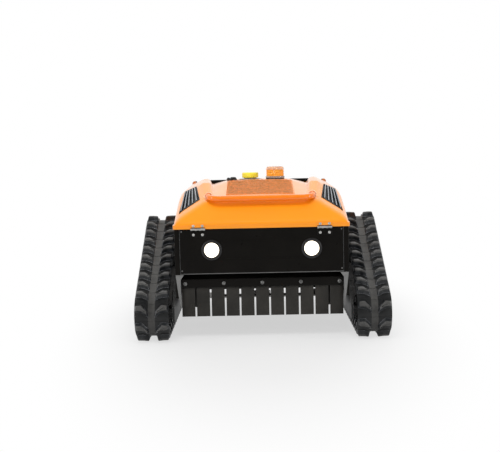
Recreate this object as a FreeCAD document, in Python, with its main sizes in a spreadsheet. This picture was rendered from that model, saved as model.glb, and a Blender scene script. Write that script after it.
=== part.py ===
import FreeCAD, Part
import math
import operator
import os
import Sketcher

# A remote controlled slope mower: a steel box on two triangular rubber tracks, with a
# hinged hood over a petrol engine that stands on a lifting deck with one blade.
# Front faces -Y, up is +Z, the origin is on the ground under the middle of the machine.
# Left and right are as seen from the front: left is -X.

SIZES = {
    # whole machine
    "overrun": 6.0,                # how far a cutter runs past what it cuts
    "running_gap": 0.05,           # between a shaft and its bore, on the radius
    "side_gap": 0.3,               # between a wheel or knuckle and its neighbour
    "seat_gap": 0.3,               # between a soft or loose piece and its seat
    # track belts
    "belt_side_gap": 10.0,         # track frame to belt
    "belt_width": 120.0,
    "belt_gauge": 10.0,
    "tread_height": 16.0,
    "lug_root": 25.0,              # tread lug along the belt, at the carcass
    "lug_crest": 17.0,             # tread lug along the belt, at its tip
    "lug_slant": 20.0,             # how far the lug's inner half lags its outer half
    "lug_inner_edge": 14.0,        # from the belt's middle to the lug
    "lug_outer_edge": 58.0,        # from the belt's middle to the lug's outer end
    "guide_height": 18.0,
    "guide_root": 22.0,
    "guide_crest": 14.0,
    "guide_width": 14.0,
    "guide_inset": 3.0,            # from the belt's edge to the guide lug
    # wheels
    "idler_radius": 66.0,
    "idler_reach": 398.0,          # wanted distance of each idler from the middle
    "sprocket_radius": 69.0,
    "sprocket_teeth": 8,
    "sprocket_back": 52.0,         # behind the middle of the machine
    "sprocket_height": 312.0,      # its axle over the ground
    "pocket_clearance": 1.6,
    "pocket_flare": 12.0,          # how far each flank of a pocket opens at the rim
    "roller_radius": 45.0,
    "roller_spacing": 198.0,
    "wheel_width": 78.0,
    "round_flats": 24,             # flats round a rim, lens or button
    "axle_radius": 10.0,
    "shoulder_radius": 17.0,
    "nut_radius": 15.0,
    "nut_height": 9.0,
    "shaft_radius": 12.5,
    "shaft_grip": 45.0,            # drive shaft inside its gearbox
    # track frames
    "frame_plate": 8.0,
    "frame_standoff": 4.0,
    "frame_margin": 28.0,          # plate past the axle centres
    "frame_foot": 27.0,            # plate under the idler axles
    "frame_crown": 46.0,           # plate over the sprocket axle
    "frame_crown_half": 60.0,
    "frame_rib": 46.0,             # width of the plate's outer ribs
    "spacer_half": 14.0,           # square spacers between the body and the plate
    # body box
    "body_half": 308.0,
    "body_reach": 400.0,           # from the middle to the front and rear faces
    "sheet": 3.0,
    "side_foot": 148.0,            # lower edge of the side panels
    "side_flange": 17.0,
    "panel_gap": 1.0,              # side flange to front panel
    "panel_foot": 235.0,
    "body_top": 394.0,
    "panel_lip": 20.0,
    "lamp_spread": 177.0,
    "lamp_height": 319.0,
    "lamp_radius": 33.0,
    "bezel_radius": 36.5,
    "bezel_gauge": 4.0,
    "lens_radius": 28.0,
    "lens_gauge": 1.5,
    "lamp_depth": 42.0,
    # chassis frame
    "tube": 30.0,
    "shelf_depth": 112.0,
    "cradle_tube": 20.0,
    "tank_gap": 22.0,              # roof to tank
    "cradle_front": 50.0,
    "cradle_pitch": 90.0,
    # strip curtains
    "curtain_gap": 2.0,            # curtain inside the front panel's ends
    "curtain_set": 380.0,          # from the middle to the strips' mid plane
    "strip_count": 11,
    "strip_gauge": 4.0,
    "strip_foot": 79.0,
    "strip_head": 185.0,           # where the strips leave the clamp
    "strip_slit": 6.0,
    "clamp_height": 28.0,
    "clamp_gauge": 5.0,
    "bracket_gauge": 3.0,
    "bracket_lean": 34.0,          # how far the bracket's upper flange runs back
    "bracket_tab": 25.0,
    "bolt_spread": 137.0,
    "bolt_radius": 7.5,
    "bolt_head": 6.0,
    # hood
    "hood_overhang": 5.0,          # hood past each side panel
    "hood_gap": 0.5,
    "hood_gauge": 3.0,
    "lip_height": 20.0,
    "crest_back": 75.0,            # front edge of the hood to the top of its slope
    "crest_height": 109.0,         # body top to the top of the front slope
    "roof_front": 60.0,            # start of the level roof, before the middle
    "roof_height": 154.0,
    "roof_rear": 300.0,
    "hood_rear": 380.0,
    "tail_height": 60.0,
    "side_lean": 13.0,
    "shoulder_start": 22.0,        # shoulder over the body top at the front corner
    "shoulder_end": 150.0,         # where the shoulder stops rising, before the middle
    "ridge_height": 168.0,
    "ridge_inner": 172.0,
    "ridge_outer": 216.0,
    "ridge_side": 30.0,
    "ridge_nose": 17.0,            # ridge over the crest at its front end
    "ridge_tail": 360.0,
    "grille_half": 125.0,
    "grille_front": 300.0,
    "grille_gauge": 1.6,
    "grille_rim": 6.0,
    "grille_columns": 9,
    "grille_rows": 6,
    "vent_gauge": 2.0,
    "vent_slats": 5,
    "slat_gauge": 3.0,
    "slat_height": 7.0,
    "handle_radius": 11.0,
    "handle_span": 186.0,
    "handle_bend": 30.0,
    "handle_leg": 58.0,
    "handle_stand": 36.0,          # bar centre before the crest
    "handle_drop": 4.0,            # bar centre under the crest
    # hinges
    "hinge_spread": 224.0,
    "hinge_width": 52.0,
    "hinge_knuckle": 3.5,
    "hinge_pin": 1.6,
    "hinge_leaf": 2.0,
    "hinge_drop": 28.0,
    "hinge_rise": 18.0,
    # top fittings
    "cap_x": -37.0,
    "cap_y": 100.0,
    "cap_radius": 33.0,
    "cap_height": 20.0,
    "cap_rise": 22.0,              # top of the cap over the roof
    "cap_ribs": 16,
    "neck_radius": 25.0,
    "cap_hole": 46.0,
    "beacon_x": 62.0,
    "beacon_y": 60.0,
    "beacon_radius": 36.5,
    "small_flats": 12,            # flats round small round pieces
    "beacon_foot": 8.0,
    "beacon_height": 39.0,
    "aerial_x": -109.0,
    "aerial_y": 0.0,
    "aerial_radius": 20.5,
    "aerial_height": 5.0,
    # inside the body
    "tank_left": 150.0,
    "tank_right": 70.0,
    "tank_front": 20.0,
    "tank_rear": 190.0,
    "tank_height": 56.0,
    "battery_width": 180.0,
    "battery_depth": 85.0,
    "battery_height": 110.0,
    "battery_gap": 20.0,
    "control_half": 130.0,
    "control_depth": 70.0,
    "control_height": 60.0,
    "motor_flange": 88.0,
    "flange_gauge": 10.0,
    "gearbox_half": 36.0,
    "gearbox_length": 60.0,
    "motor_radius": 32.0,
    "motor_gap": 42.0,             # engine shroud to motor
    # lift
    "guide_radius": 10.0,
    "guide_foot": 165.0,
    "bush_half": 19.0,
    "bush_height": 70.0,
    "lift_radius": 10.0,
    "lift_tube": 24.0,
    "lift_tube_foot": 240.0,
    "lift_bore_end": 11.0,         # solid end over the tube's bore
    "lift_rod_top": 300.0,
    "lift_foot": 30.0,
    "lift_foot_height": 9.0,
    # deck, engine and blade
    "deck_gap": 20.0,              # side panel to deck
    "rod_inset": 45.0,             # deck's edge to its guide rods
    "deck_foot": 95.0,
    "deck_top": 175.0,
    "deck_corner": 40.0,
    "mouth_lip": 15.0,             # deck top down to the grass mouth in its front wall
    "mouth_jamb": 16.0,            # wall kept beside the mouth
    "pto_hole": 30.0,
    "crankcase_half": 85.0,
    "crankcase_height": 120.0,
    "cylinder_half": 42.0,
    "cylinder_reach": 160.0,
    "cylinder_rise": 24.0,
    "cylinder_height": 80.0,
    "fin_count": 5,
    "fin_gauge": 4.0,
    "fin_margin": 14.0,
    "shroud_half": 108.0,
    "shroud_height": 95.0,
    "shroud_corner": 34.0,
    "fan_radius": 62.0,
    "fan_rise": 6.0,
    "muffler_length": 110.0,
    "muffler_depth": 50.0,
    "muffler_height": 64.0,
    "side_rise": 32.0,             # exhaust and air filter over the deck
    "filter_length": 96.0,
    "filter_depth": 46.0,
    "filter_height": 74.0,
    "blade_gap": 23.0,             # deck's edge to blade tip
    "blade_half": 28.0,
    "blade_gauge": 6.0,
    "blade_under": 84.0,           # underside of the blade over the ground
    "wing_length": 70.0,
    "wing_rise": 16.0,
    "hub_radius": 34.0,
    "hub_height": 15.0,
    "crank_grip": 75.0,            # crankshaft inside the crankcase
    "blade_bolt_radius": 18.0,
    "blade_bolt_head": 14.0,
    # rear bar and stop button
    "bar_radius": 12.5,
    "bar_top": 528.0,
    "bar_span": 250.0,
    "bar_bend": 40.0,
    "bar_foot": 300.0,
    "marker_radius": 13.0,
    "marker_length": 20.0,
    "marker_stub": 8.0,
    "marker_plate": 4.0,
    "marker_rise": 36.5,
    "marker_stub_radius": 7.0,
    "stop_x": 120.0,
    "stop_height": 330.0,
    "stop_housing_half": 24.0,
    "stop_housing_length": 14.0,
    "stop_travel": 5.0,
    "stop_radius": 19.0,
    "stop_head": 12.0,
    "stop_stem": 8.0,
}

# slopes and proportions that have no unit
SHOULDER_SIDE_SHARE = 0.442        # rise of the shoulder per unit towards the middle
SHOULDER_BACK_SHARE = 0.347        # rise of the shoulder per unit towards the rear
SHOULDER_INSET_SHARE = 1.15        # a sloped wall's height for each unit of its gauge
KNUCKLES = 3
VENT_CORNER_SHARES = ((0.940, 0.845), (0.703, 0.75), (0.765, 0.375), (0.902, 0.375))
ROLLER_PLACES = (-1, 0, 1)
SIDES = {"left": -1, "right": 1}

document = FreeCAD.newDocument("slope_mower")
sheet = document.addObject("Spreadsheet::Sheet", "sizes")
sheet.Label = "sizes"
nodes = {}


class Size:
    """A length, count or share, with the sheet formula that gives it."""

    def __init__(self, value, formula):
        self.value = value
        self.formula = formula

    def __add__(self, other):
        return combine(self, other, "+")

    def __radd__(self, other):
        return combine(other, self, "+")

    def __sub__(self, other):
        return combine(self, other, "-")

    def __rsub__(self, other):
        return combine(other, self, "-")

    def __mul__(self, other):
        return combine(self, other, "*")

    def __rmul__(self, other):
        return combine(other, self, "*")

    def __truediv__(self, other):
        return combine(self, other, "/")

    def __neg__(self):
        return combine(0, self, "-")


SIGNS = {"+": operator.add, "-": operator.sub, "*": operator.mul, "/": operator.truediv}


def as_size(thing):
    """A plain number as a size."""
    return thing if isinstance(thing, Size) else Size(float(thing), repr(float(thing)))


def combine(first, second, sign):
    """Two sizes joined by an arithmetic sign."""
    first, second = as_size(first), as_size(second)
    value = SIGNS[sign](first.value, second.value)
    return Size(value, f"({first.formula} {sign} {second.formula})")


class Named:
    """The sheet's sizes by name."""

    def __getattr__(self, alias):
        return Size(float(SIZES[alias]), f"<<sizes>>.{alias}")


s = Named()


def fill_sheet():
    """One row for each named size."""
    for row, (alias, value) in enumerate(SIZES.items(), start=1):
        sheet.set(f"A{row}", alias)
        sheet.set(f"B{row}", str(value))
        sheet.setAlias(f"B{row}", alias)
    document.recompute()


def bind(thing, prop, size):
    """Tie one property to the sheet."""
    thing.setExpression(prop, as_size(size).formula)


def place(thing, x, y, z):
    """Tie an object's place to the sheet."""
    for axis, size in zip("xyz", (x, y, z)):
        bind(thing, f"Placement.Base.{axis}", size)


def add(kind, name):
    return document.addObject(kind, name)


def box(name, x, y, z):
    """A block from its low and high place on each axis."""
    block = add("Part::Box", name)
    for prop, (low, high) in zip(("Length", "Width", "Height"), (x, y, z)):
        bind(block, prop, as_size(high) - low)
    place(block, x[0], y[0], z[0])
    return block


TURNS = {
    "x": FreeCAD.Rotation(FreeCAD.Vector(0, 1, 0), 90),
    "y": FreeCAD.Rotation(FreeCAD.Vector(1, 0, 0), -90),
    "z": FreeCAD.Rotation(),
}


def rod(name, axis, radius, low, high, across):
    """A cylinder along an axis; across holds its other two coordinates, in X, Y, Z order."""
    bar = add("Part::Cylinder", name)
    bind(bar, "Radius", radius)
    bind(bar, "Height", as_size(high) - low)
    bar.Placement.Rotation = TURNS[axis]
    spot = list(across)
    spot.insert("xyz".index(axis), low)
    place(bar, *spot)
    return bar


def origin_plane(body, role):
    return next(part for part in body.Origin.OriginFeatures if part.Role == role)


PLANES = {"x": "YZ_Plane", "y": "XZ_Plane", "z": "XY_Plane"}


def new_sketch(body, name, axis):
    """A sketch on the body's origin plane that is square to an axis."""
    sketch = body.newObject("Sketcher::SketchObject", name)
    sketch.AttachmentSupport = [(origin_plane(body, PLANES[axis]), "")]
    sketch.MapMode = "FlatFace"
    return sketch


def draw(sketch, points, closed=True):
    """Straight edges through points whose coordinates follow the sheet."""
    spots = [(as_size(a), as_size(b)) for a, b in points]
    places = [FreeCAD.Vector(a.value, b.value, 0) for a, b in spots]
    ends = places[1:] + places[:1] if closed else places[1:]
    start = sketch.GeometryCount
    lines = [Part.LineSegment(a, b) for a, b in zip(places, ends)]
    sketch.addGeometry(lines, False)
    count = len(lines)
    for index in range(count if closed else count - 1):
        after = start + (index + 1) % count
        sketch.addConstraint(Sketcher.Constraint("Coincident", start + index, 2, after, 1))
    for index, (a, b) in enumerate(spots):
        edge, end = (start + index, 1) if index < count else (start + count - 1, 2)
        for kind, size in (("DistanceX", a), ("DistanceY", b)):
            number = sketch.addConstraint(Sketcher.Constraint(kind, -1, 1, edge, end, size.value))
            if "<<" in size.formula:
                sketch.setExpression(f"Constraints[{number}]", size.formula)


def prism(name, axis, points, low, high, holes=()):
    """A body padded from an outline, from low to high along an axis."""
    body = add("PartDesign::Body", name)
    sketch = new_sketch(body, name + "_outline", axis)
    draw(sketch, points)
    for hole in holes:
        draw(sketch, hole)
    pad = body.newObject("PartDesign::Pad", name + "_pad")
    pad.Profile = sketch
    bind(pad, "Length", as_size(high) - low)
    bind(body, f"Placement.Base.{axis}", high if axis == "y" else low)
    return body


def lofted(name, sections):
    """A body ruled through outlines in X and Z, each at its own place along Y."""
    body = add("PartDesign::Body", name)
    drawn = []
    for number, (along, points) in enumerate(sections):
        sketch = new_sketch(body, f"{name}_section{number}", "y")
        draw(sketch, points)
        bind(sketch, "AttachmentOffset.Base.z", -as_size(along))
        drawn.append(sketch)
    loft = body.newObject("PartDesign::AdditiveLoft", name + "_loft")
    loft.Profile = drawn[0]
    loft.Sections = drawn[1:]
    loft.Ruled = True
    return body


TUBE_FLATS = 8


def bent_tube(name, radius, span, bend, leg):
    """A U of tube with a many-sided section, its bar along X and its legs along +Y."""
    body = add("PartDesign::Body", name)
    path = new_sketch(body, name + "_path", "z")
    flat = [-span, bend - span, span - bend, span]
    vector = FreeCAD.Vector
    a, b, c, d = (size.value for size in flat)
    rise, top = bend.value, leg.value
    path.addGeometry([
        Part.LineSegment(vector(a, top, 0), vector(a, rise, 0)),
        Part.ArcOfCircle(Part.Circle(vector(b, rise, 0), vector(0, 0, 1), rise), math.pi, 1.5 * math.pi),
        Part.LineSegment(vector(b, 0, 0), vector(c, 0, 0)),
        Part.ArcOfCircle(Part.Circle(vector(c, rise, 0), vector(0, 0, 1), rise), 1.5 * math.pi, 2 * math.pi),
        Part.LineSegment(vector(d, rise, 0), vector(d, top, 0)),
    ], False)
    joins = ((0, 2, 1, 1), (1, 2, 2, 1), (2, 2, 3, 1), (3, 2, 4, 1))
    path.addConstraint([Sketcher.Constraint("Tangent", *join) for join in joins])
    ties = (
        ("DistanceX", 0, 1, flat[0]), ("DistanceY", 0, 1, leg), ("DistanceX", 4, 2, flat[3]),
        ("DistanceY", 4, 2, leg), ("DistanceY", 2, 1, as_size(0)),
    )
    for kind, edge, end, size in ties:
        number = path.addConstraint(Sketcher.Constraint(kind, -1, 1, edge, end, size.value))
        if "<<" in size.formula:
            path.setExpression(f"Constraints[{number}]", size.formula)
    for edge in (1, 3):
        number = path.addConstraint(Sketcher.Constraint("Radius", edge, bend.value))
        path.setExpression(f"Constraints[{number}]", bend.formula)
    level = [Sketcher.Constraint("Vertical", 0), Sketcher.Constraint("Vertical", 4)]
    path.addConstraint(level + [Sketcher.Constraint("Horizontal", 2)])
    ring = new_sketch(body, name + "_ring", "y")
    turns = [2 * math.pi * number / TUBE_FLATS for number in range(TUBE_FLATS)]
    draw(ring, [(radius * math.cos(turn) - span, radius * math.sin(turn)) for turn in turns])
    bind(ring, "AttachmentOffset.Base.z", -leg)
    pipe = body.newObject("PartDesign::AdditivePipe", name + "_pipe")
    pipe.Profile = ring
    pipe.Spine = path
    return body


def fuse(name, *parts):
    joined = add("Part::MultiFuse", name)
    joined.Shapes = list(parts)
    joined.Refine = True
    return joined


def cut(name, base, *tools):
    """What is left of base outside the tools."""
    trimmed = add("Part::Cut", name)
    trimmed.Base = base
    trimmed.Tool = tools[0] if len(tools) == 1 else fuse(name + "_cutters", *tools)
    trimmed.Refine = True
    return trimmed


def common(name, first, second):
    shared = add("Part::Common", name)
    shared.Base = first
    shared.Tool = second
    shared.Refine = True
    return shared


def group(name, *parts):
    """Separate solids that share one node."""
    together = add("Part::Compound", name)
    together.Links = list(parts)
    return together


def mirrored(name, part, axis="x"):
    """The same part across the middle plane that is square to an axis."""
    copy = add("Part::Mirroring", name)
    copy.Source = part
    copy.Normal = FreeCAD.Vector(*(1.0 if letter == axis else 0.0 for letter in "xyz"))
    return copy


def node(name, part):
    """Name a finished sub-part."""
    part.Label = name
    nodes[name] = part
    return part


def both(sign, low, high):
    """The stretch from low to high on the positive or the negative side."""
    return (low, high) if sign > 0 else (-as_size(high), -as_size(low))


def polygon(name, axis, sides, radius, low, high, across):
    """A prism with equal flats along an axis."""
    head = add("Part::Prism", name)
    bind(head, "Polygon", sides)
    bind(head, "Circumradius", radius)
    bind(head, "Height", as_size(high) - low)
    head.Placement.Rotation = TURNS[axis]
    spot = list(across)
    spot.insert("xyz".index(axis), low)
    place(head, *spot)
    return head


def hexagon(name, axis, radius, low, high, across):
    """A hexagonal head or cap along an axis."""
    return polygon(name, axis, 6, radius, low, high, across)


class Loop:
    """The belt's middle line round sprocket and idlers, run from the sprocket's top to the rear."""

    def __init__(self, half_span):
        half = SIZES["belt_gauge"] / 2
        idler = SIZES["idler_radius"] + half
        self.ground = SIZES["tread_height"] + SIZES["belt_gauge"] + SIZES["idler_radius"]
        drive = SIZES["sprocket_radius"] + half
        self.pitch = 2 * math.pi * drive / SIZES["sprocket_teeth"]
        self.circles = [
            (SIZES["sprocket_back"], SIZES["sprocket_height"], drive),
            (half_span, self.ground, idler),
            (-half_span, self.ground, idler),
        ]
        headings = []
        for here, there in zip(self.circles, self.circles[1:] + self.circles[:1]):
            step = (there[0] - here[0], there[1] - here[1])
            heading = math.atan2(step[1], step[0])
            headings.append(heading + math.asin((there[2] - here[2]) / math.hypot(*step)))
        self.headings = headings
        self.runs = self.stretches()
        self.length = sum(run[0] for run in self.runs)

    def stretches(self):
        """Arcs and straights in order: length, then what places a point on it."""
        runs = []
        heading = 0.0
        for number, (y, z, radius) in enumerate(self.circles):
            turn = (heading - self.headings[number]) % (2 * math.pi)
            runs.append((radius * turn, "arc", (y, z), radius, heading))
            heading = self.headings[number]
            there = self.circles[(number + 1) % len(self.circles)]
            start = self.beside((y, z), heading, radius)
            end = self.beside(there[:2], heading, there[2])
            runs.append((math.dist(start, end), "line", start, 0.0, heading))
        turn = heading % (2 * math.pi)
        y, z, radius = self.circles[0]
        runs.append((radius * turn, "arc", (y, z), radius, heading))
        return runs

    @staticmethod
    def beside(centre, heading, distance):
        """A point off a centre, to the left of a heading."""
        return (centre[0] - distance * math.sin(heading), centre[1] + distance * math.cos(heading))

    def at(self, distance):
        """Place and heading at a distance along the line."""
        for length, kind, origin, radius, heading in self.runs:
            if distance <= length:
                break
            distance -= length
        if kind == "arc":
            heading -= distance / radius
            return self.beside(origin, heading, radius), heading
        y, z = origin
        return (y + distance * math.cos(heading), z + distance * math.sin(heading)), heading

    def wire(self, offset):
        """The line moved outwards by an offset, as arcs and straights."""
        edges = []
        corners = []
        for length, kind, origin, radius, heading in self.runs:
            if kind == "arc":
                marks = [heading - share * length / radius for share in (0, 0.5, 1)]
                corners.append([self.beside(origin, mark, radius + offset) for mark in marks])
        for arc in corners[:-1]:
            edges.append(self.curve(arc))
        last, first = corners[-1], corners[0]
        edges.append(self.curve(last))
        ends = [arc[-1] for arc in corners[:-1]] + [last[-1]]
        starts = [arc[0] for arc in corners[1:]] + [first[0]]
        for end, start in zip(ends[:-1], starts[:-1]):
            edges.append(Part.LineSegment(self.spot(end), self.spot(start)).toShape())
        return Part.Wire(Part.__sortEdges__(edges))

    @staticmethod
    def spot(point):
        return FreeCAD.Vector(0, *point)

    def curve(self, arc):
        return Part.Arc(*(self.spot(point) for point in arc)).toShape()


def fitted_loop():
    """Move the idlers from their wanted reach until a whole number of pitches fits."""
    half_span = SIZES["idler_reach"]
    loop = Loop(half_span)
    count = round(loop.length / loop.pitch)
    for _ in range(40):
        loop = Loop(half_span)
        half_span += (count * loop.pitch - loop.length) / 4
    return loop, count, half_span


loop, lug_count, idler_half_span = fitted_loop()
SIZES["idler_half_span"] = round(idler_half_span, 6)


def shrunk(points, distance):
    """A closed outline, drawn clockwise or not, with every edge moved inwards."""
    total = sum(a[0] * b[1] - b[0] * a[1] for a, b in zip(points, points[1:] + points[:1]))
    sign = 1 if total > 0 else -1
    moved = []
    for before, here, after in zip(points[-1:] + points[:-1], points, points[1:] + points[:1]):
        into = (here[0] - before[0], here[1] - before[1])
        out = (after[0] - here[0], after[1] - here[1])
        a, b = math.hypot(*into), math.hypot(*out)
        first = (-sign * into[1] / a, sign * into[0] / a)
        second = (-sign * out[1] / b, sign * out[0] / b)
        scale = distance / (1 + first[0] * second[0] + first[1] * second[1])
        moved.append((here[0] + scale * (first[0] + second[0]), here[1] + scale * (first[1] + second[1])))
    return moved


def frustum(base, top, low, high, frame):
    """A solid with flat sides between two outlines at two heights, set into a frame."""
    origin, across, along, out = frame

    def spot(point, height):
        return origin + across * point[0] + along * point[1] + out * height

    under = [spot(point, low) for point in base]
    over = [spot(point, high) for point in top]
    rings = [under, over]
    for index in range(len(base)):
        after = (index + 1) % len(base)
        rings.append([under[index], under[after], over[after], over[index]])
    faces = [Part.Face(Part.makePolygon(ring + ring[:1])) for ring in rings]
    solid = Part.Solid(Part.Shell(faces))
    if solid.Volume < 0:
        solid.reverse()
    return solid


LUG_WAIST_SHARE = 0.6              # bend of a lug, from the belt's middle towards its edge
LUG_TIP_SHARE = 0.62               # length of a lug's outer end
LUG_HEEL_SHARE = 0.84              # length of a lug's inner end
ROOT_SUNK_SHARE = 0.65             # how deep a lug's root runs into the carcass


def lug_outline(side):
    """One tread lug seen from outside: square to the belt, then slanting to its middle."""
    edge = SIZES["lug_outer_edge"]
    waist = edge * LUG_WAIST_SHARE
    heel = SIZES["lug_inner_edge"]
    half = SIZES["lug_root"] / 2
    lag = SIZES["lug_slant"]
    points = [
        (edge, -half * LUG_TIP_SHARE), (edge, half * LUG_TIP_SHARE), (waist, half),
        (heel, half * LUG_HEEL_SHARE - lag), (heel, -half * LUG_HEEL_SHARE - lag), (waist, -half),
    ]
    return [(side * x, w) for x, w in points]


def track_belt():
    """One rubber belt: carcass, two rows of tread lugs and two rows of guide lugs."""
    gauge = SIZES["belt_gauge"]
    width = SIZES["belt_width"]
    outer = Part.Face(loop.wire(gauge / 2))
    inner = Part.Face(loop.wire(-gauge / 2))
    carcass = outer.cut(inner).extrude(FreeCAD.Vector(width, 0, 0))
    carcass.translate(FreeCAD.Vector(-width / 2, 0, 0))
    draft = (SIZES["lug_root"] - SIZES["lug_crest"]) / 2
    guide_middle = width / 2 - SIZES["guide_inset"] - SIZES["guide_width"] / 2
    lugs = []
    for number in range(lug_count):
        (y, z), heading = loop.at(number * loop.pitch)
        along = FreeCAD.Vector(0, math.cos(heading), math.sin(heading))
        out = FreeCAD.Vector(0, -math.sin(heading), math.cos(heading))
        frame = (FreeCAD.Vector(0, y, z), FreeCAD.Vector(1, 0, 0), along, out)
        inward = frame[:3] + (-out,)
        for side in SIDES.values():
            outline = lug_outline(side)
            low = gauge / 2 - gauge * ROOT_SUNK_SHARE
            base = shrunk(outline, -draft * gauge * ROOT_SUNK_SHARE / SIZES["tread_height"])
            crest = shrunk(outline, draft)
            lugs.append(frustum(base, crest, low, gauge / 2 + SIZES["tread_height"], frame))
            middle = side * guide_middle
            flank = SIZES["guide_width"] / 2
            root, tip = SIZES["guide_root"] / 2, SIZES["guide_crest"] / 2
            feet = [(middle - flank, -root), (middle + flank, -root),
                    (middle + flank, root), (middle - flank, root)]
            tips = [(x, math.copysign(tip, w)) for x, w in feet]
            lugs.append(frustum(feet, tips, gauge / 4, gauge / 2 + SIZES["guide_height"], inward))
    reach = 2 * SIZES["body_half"] + 2 * SIZES["body_reach"]
    ground = Part.makeBox(reach, reach, reach, FreeCAD.Vector(-reach / 2, -reach / 2, -reach))
    belt = add("Part::Feature", "track_belt_form")
    belt.Shape = carcass.multiFuse(lugs).cut(ground)
    return belt


fill_sheet()

# places that several pieces share
inner_face = s.body_half - s.sheet                     # inside of the side panels
inner_reach = s.body_reach - s.sheet                   # inside of the front and rear panels
frame_top = s.body_top - s.sheet
rail_low = frame_top - s.tube
shelf_top = s.panel_foot + s.sheet
shelf_start = inner_reach - s.shelf_depth
crest_y = s.crest_back - s.body_reach
lip_top = s.body_top + s.lip_height
crest_top = s.body_top + s.crest_height
roof_top = s.body_top + s.roof_height
hood_low = s.body_top + s.hood_gap
panel_half = s.body_half - s.side_flange - s.panel_gap
curtain_half = panel_half - s.curtain_gap
hood_half = s.body_half + s.hood_overhang
deck_half = inner_face - s.deck_gap
blade_reach = deck_half - s.blade_gap
cross_member = deck_half - s.rod_inset                 # cross tubes, and the guide rods under them
motor_length = inner_face - s.flange_gauge - s.gearbox_length - s.shroud_half - s.motor_gap
cradle_height = roof_top - s.tank_gap - s.tank_height
cap_top = roof_top + s.cap_rise
belt_centre = s.body_half + s.frame_standoff + s.frame_plate + s.belt_side_gap + s.belt_width / 2
wheel_inside = belt_centre - s.wheel_width / 2
wheel_outside = belt_centre + s.wheel_width / 2
axle_height = s.tread_height + s.belt_gauge + s.idler_radius
roller_height = s.tread_height + s.belt_gauge + s.roller_radius
plate_inside = s.body_half + s.frame_standoff
plate_outside = plate_inside + s.frame_plate
clamp_top = s.strip_head + s.clamp_height
hinge_y = -(s.body_reach + s.hinge_knuckle + s.hood_gap)
hinge_z = s.body_top - s.side_gap


def chassis_frame():
    """Square tube frame with front and rear shelves and a cradle for the tank."""
    parts = []
    for side in (-1, 1):
        post = both(side, inner_face - s.tube, inner_face)
        parts.append(box("side_rail", post, (-inner_reach, inner_reach), (rail_low, frame_top)))
        for end in (-1, 1):
            deep = both(end, inner_reach - s.tube, inner_reach)
            parts.append(box("post", post, deep, (s.panel_foot, frame_top)))
        for row in range(2):
            front = s.cradle_front + row * s.cradle_pitch
            upright = both(side, inner_face - s.tube, inner_face - s.tube + s.cradle_tube)
            parts.append(box("upright", upright, (front, front + s.cradle_tube), (rail_low, cradle_height)))
    width = (s.tube - inner_face, inner_face - s.tube)
    full = (-inner_face, inner_face)
    for end in (-1, 1):
        middle = both(end, cross_member - s.tube / 2, cross_member + s.tube / 2)
        parts.append(box("cross_tube", width, middle, (rail_low, frame_top)))
        parts.append(box("end_tube", width, both(end, inner_reach - s.tube, inner_reach), (rail_low, frame_top)))
        parts.append(box("shelf", full, both(end, shelf_start, inner_reach), (s.panel_foot, shelf_top)))
    for row in range(2):
        front = s.cradle_front + row * s.cradle_pitch
        beam = (cradle_height - s.cradle_tube, cradle_height)
        parts.append(box("cradle_beam", width, (front, front + s.cradle_tube), beam))
    return node("chassis_frame", fuse("chassis_frame_form", *parts))


def sheet_panel(name):
    """A front or rear sheet with its folded upper lip, drawn at the front."""
    outside, inside = -s.body_reach, -inner_reach
    outline = [
        (outside, s.panel_foot), (inside, s.panel_foot), (inside, s.body_top - s.sheet),
        (outside + s.panel_lip, s.body_top - s.sheet), (outside + s.panel_lip, s.body_top),
        (outside, s.body_top),
    ]
    return prism(name, "x", outline, -panel_half, panel_half)


def panels():
    outside = -(s.body_reach + s.overrun)
    inside = s.overrun - inner_reach
    holes = [
        rod("lamp_hole", "y", s.lamp_radius + s.seat_gap, outside, inside,
            (side * s.lamp_spread, s.lamp_height))
        for side in (-1, 1)
    ]
    node("front_panel", cut("front_panel_form", sheet_panel("front_sheet"), *holes))
    stem = rod("stop_hole", "y", s.stop_stem + s.stop_stem / 2, -inside, -outside, (s.stop_x, s.stop_height))
    node("rear_panel", cut("rear_panel_form", mirrored("rear_sheet", sheet_panel("rear_blank"), "y"), stem))
    flange = s.body_half - s.side_flange
    outline = [
        (flange, -s.body_reach), (s.body_half, -s.body_reach), (s.body_half, s.body_reach),
        (flange, s.body_reach), (flange, inner_reach), (inner_face, inner_reach),
        (inner_face, -inner_reach), (flange, -inner_reach),
    ]
    blank = prism("side_sheet", "z", outline, s.side_foot, s.body_top)
    shaft = rod(
        "shaft_hole", "x", s.shaft_radius + s.overrun, inner_face - s.overrun, s.body_half + s.overrun,
        (s.sprocket_back, s.sprocket_height),
    )
    right = node("side_panel_right", cut("side_panel_form", blank, shaft))
    node("side_panel_left", mirrored("side_panel_copy", right))


def headlights():
    """A round bezel on the panel with its barrel behind it, and a glass lens, on each side."""
    housings, lenses = [], []
    face = -s.body_reach
    front = face - s.bezel_gauge
    for side in (-1, 1):
        spot = (side * s.lamp_spread, s.lamp_height)
        bezel = polygon("lamp_bezel", "y", s.round_flats, s.bezel_radius, front, face, spot)
        barrel = polygon("lamp_barrel", "y", s.small_flats, s.lamp_radius, face, face + s.lamp_depth, spot)
        housings.append(fuse("lamp_housing", bezel, barrel))
        lenses.append(polygon("lamp_lens", "y", s.round_flats, s.lens_radius, front - s.lens_gauge, front, spot))
    node("headlight_housings", group("headlight_housing_pair", *housings))
    node("headlight_lenses", group("headlight_lens_pair", *lenses))


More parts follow.
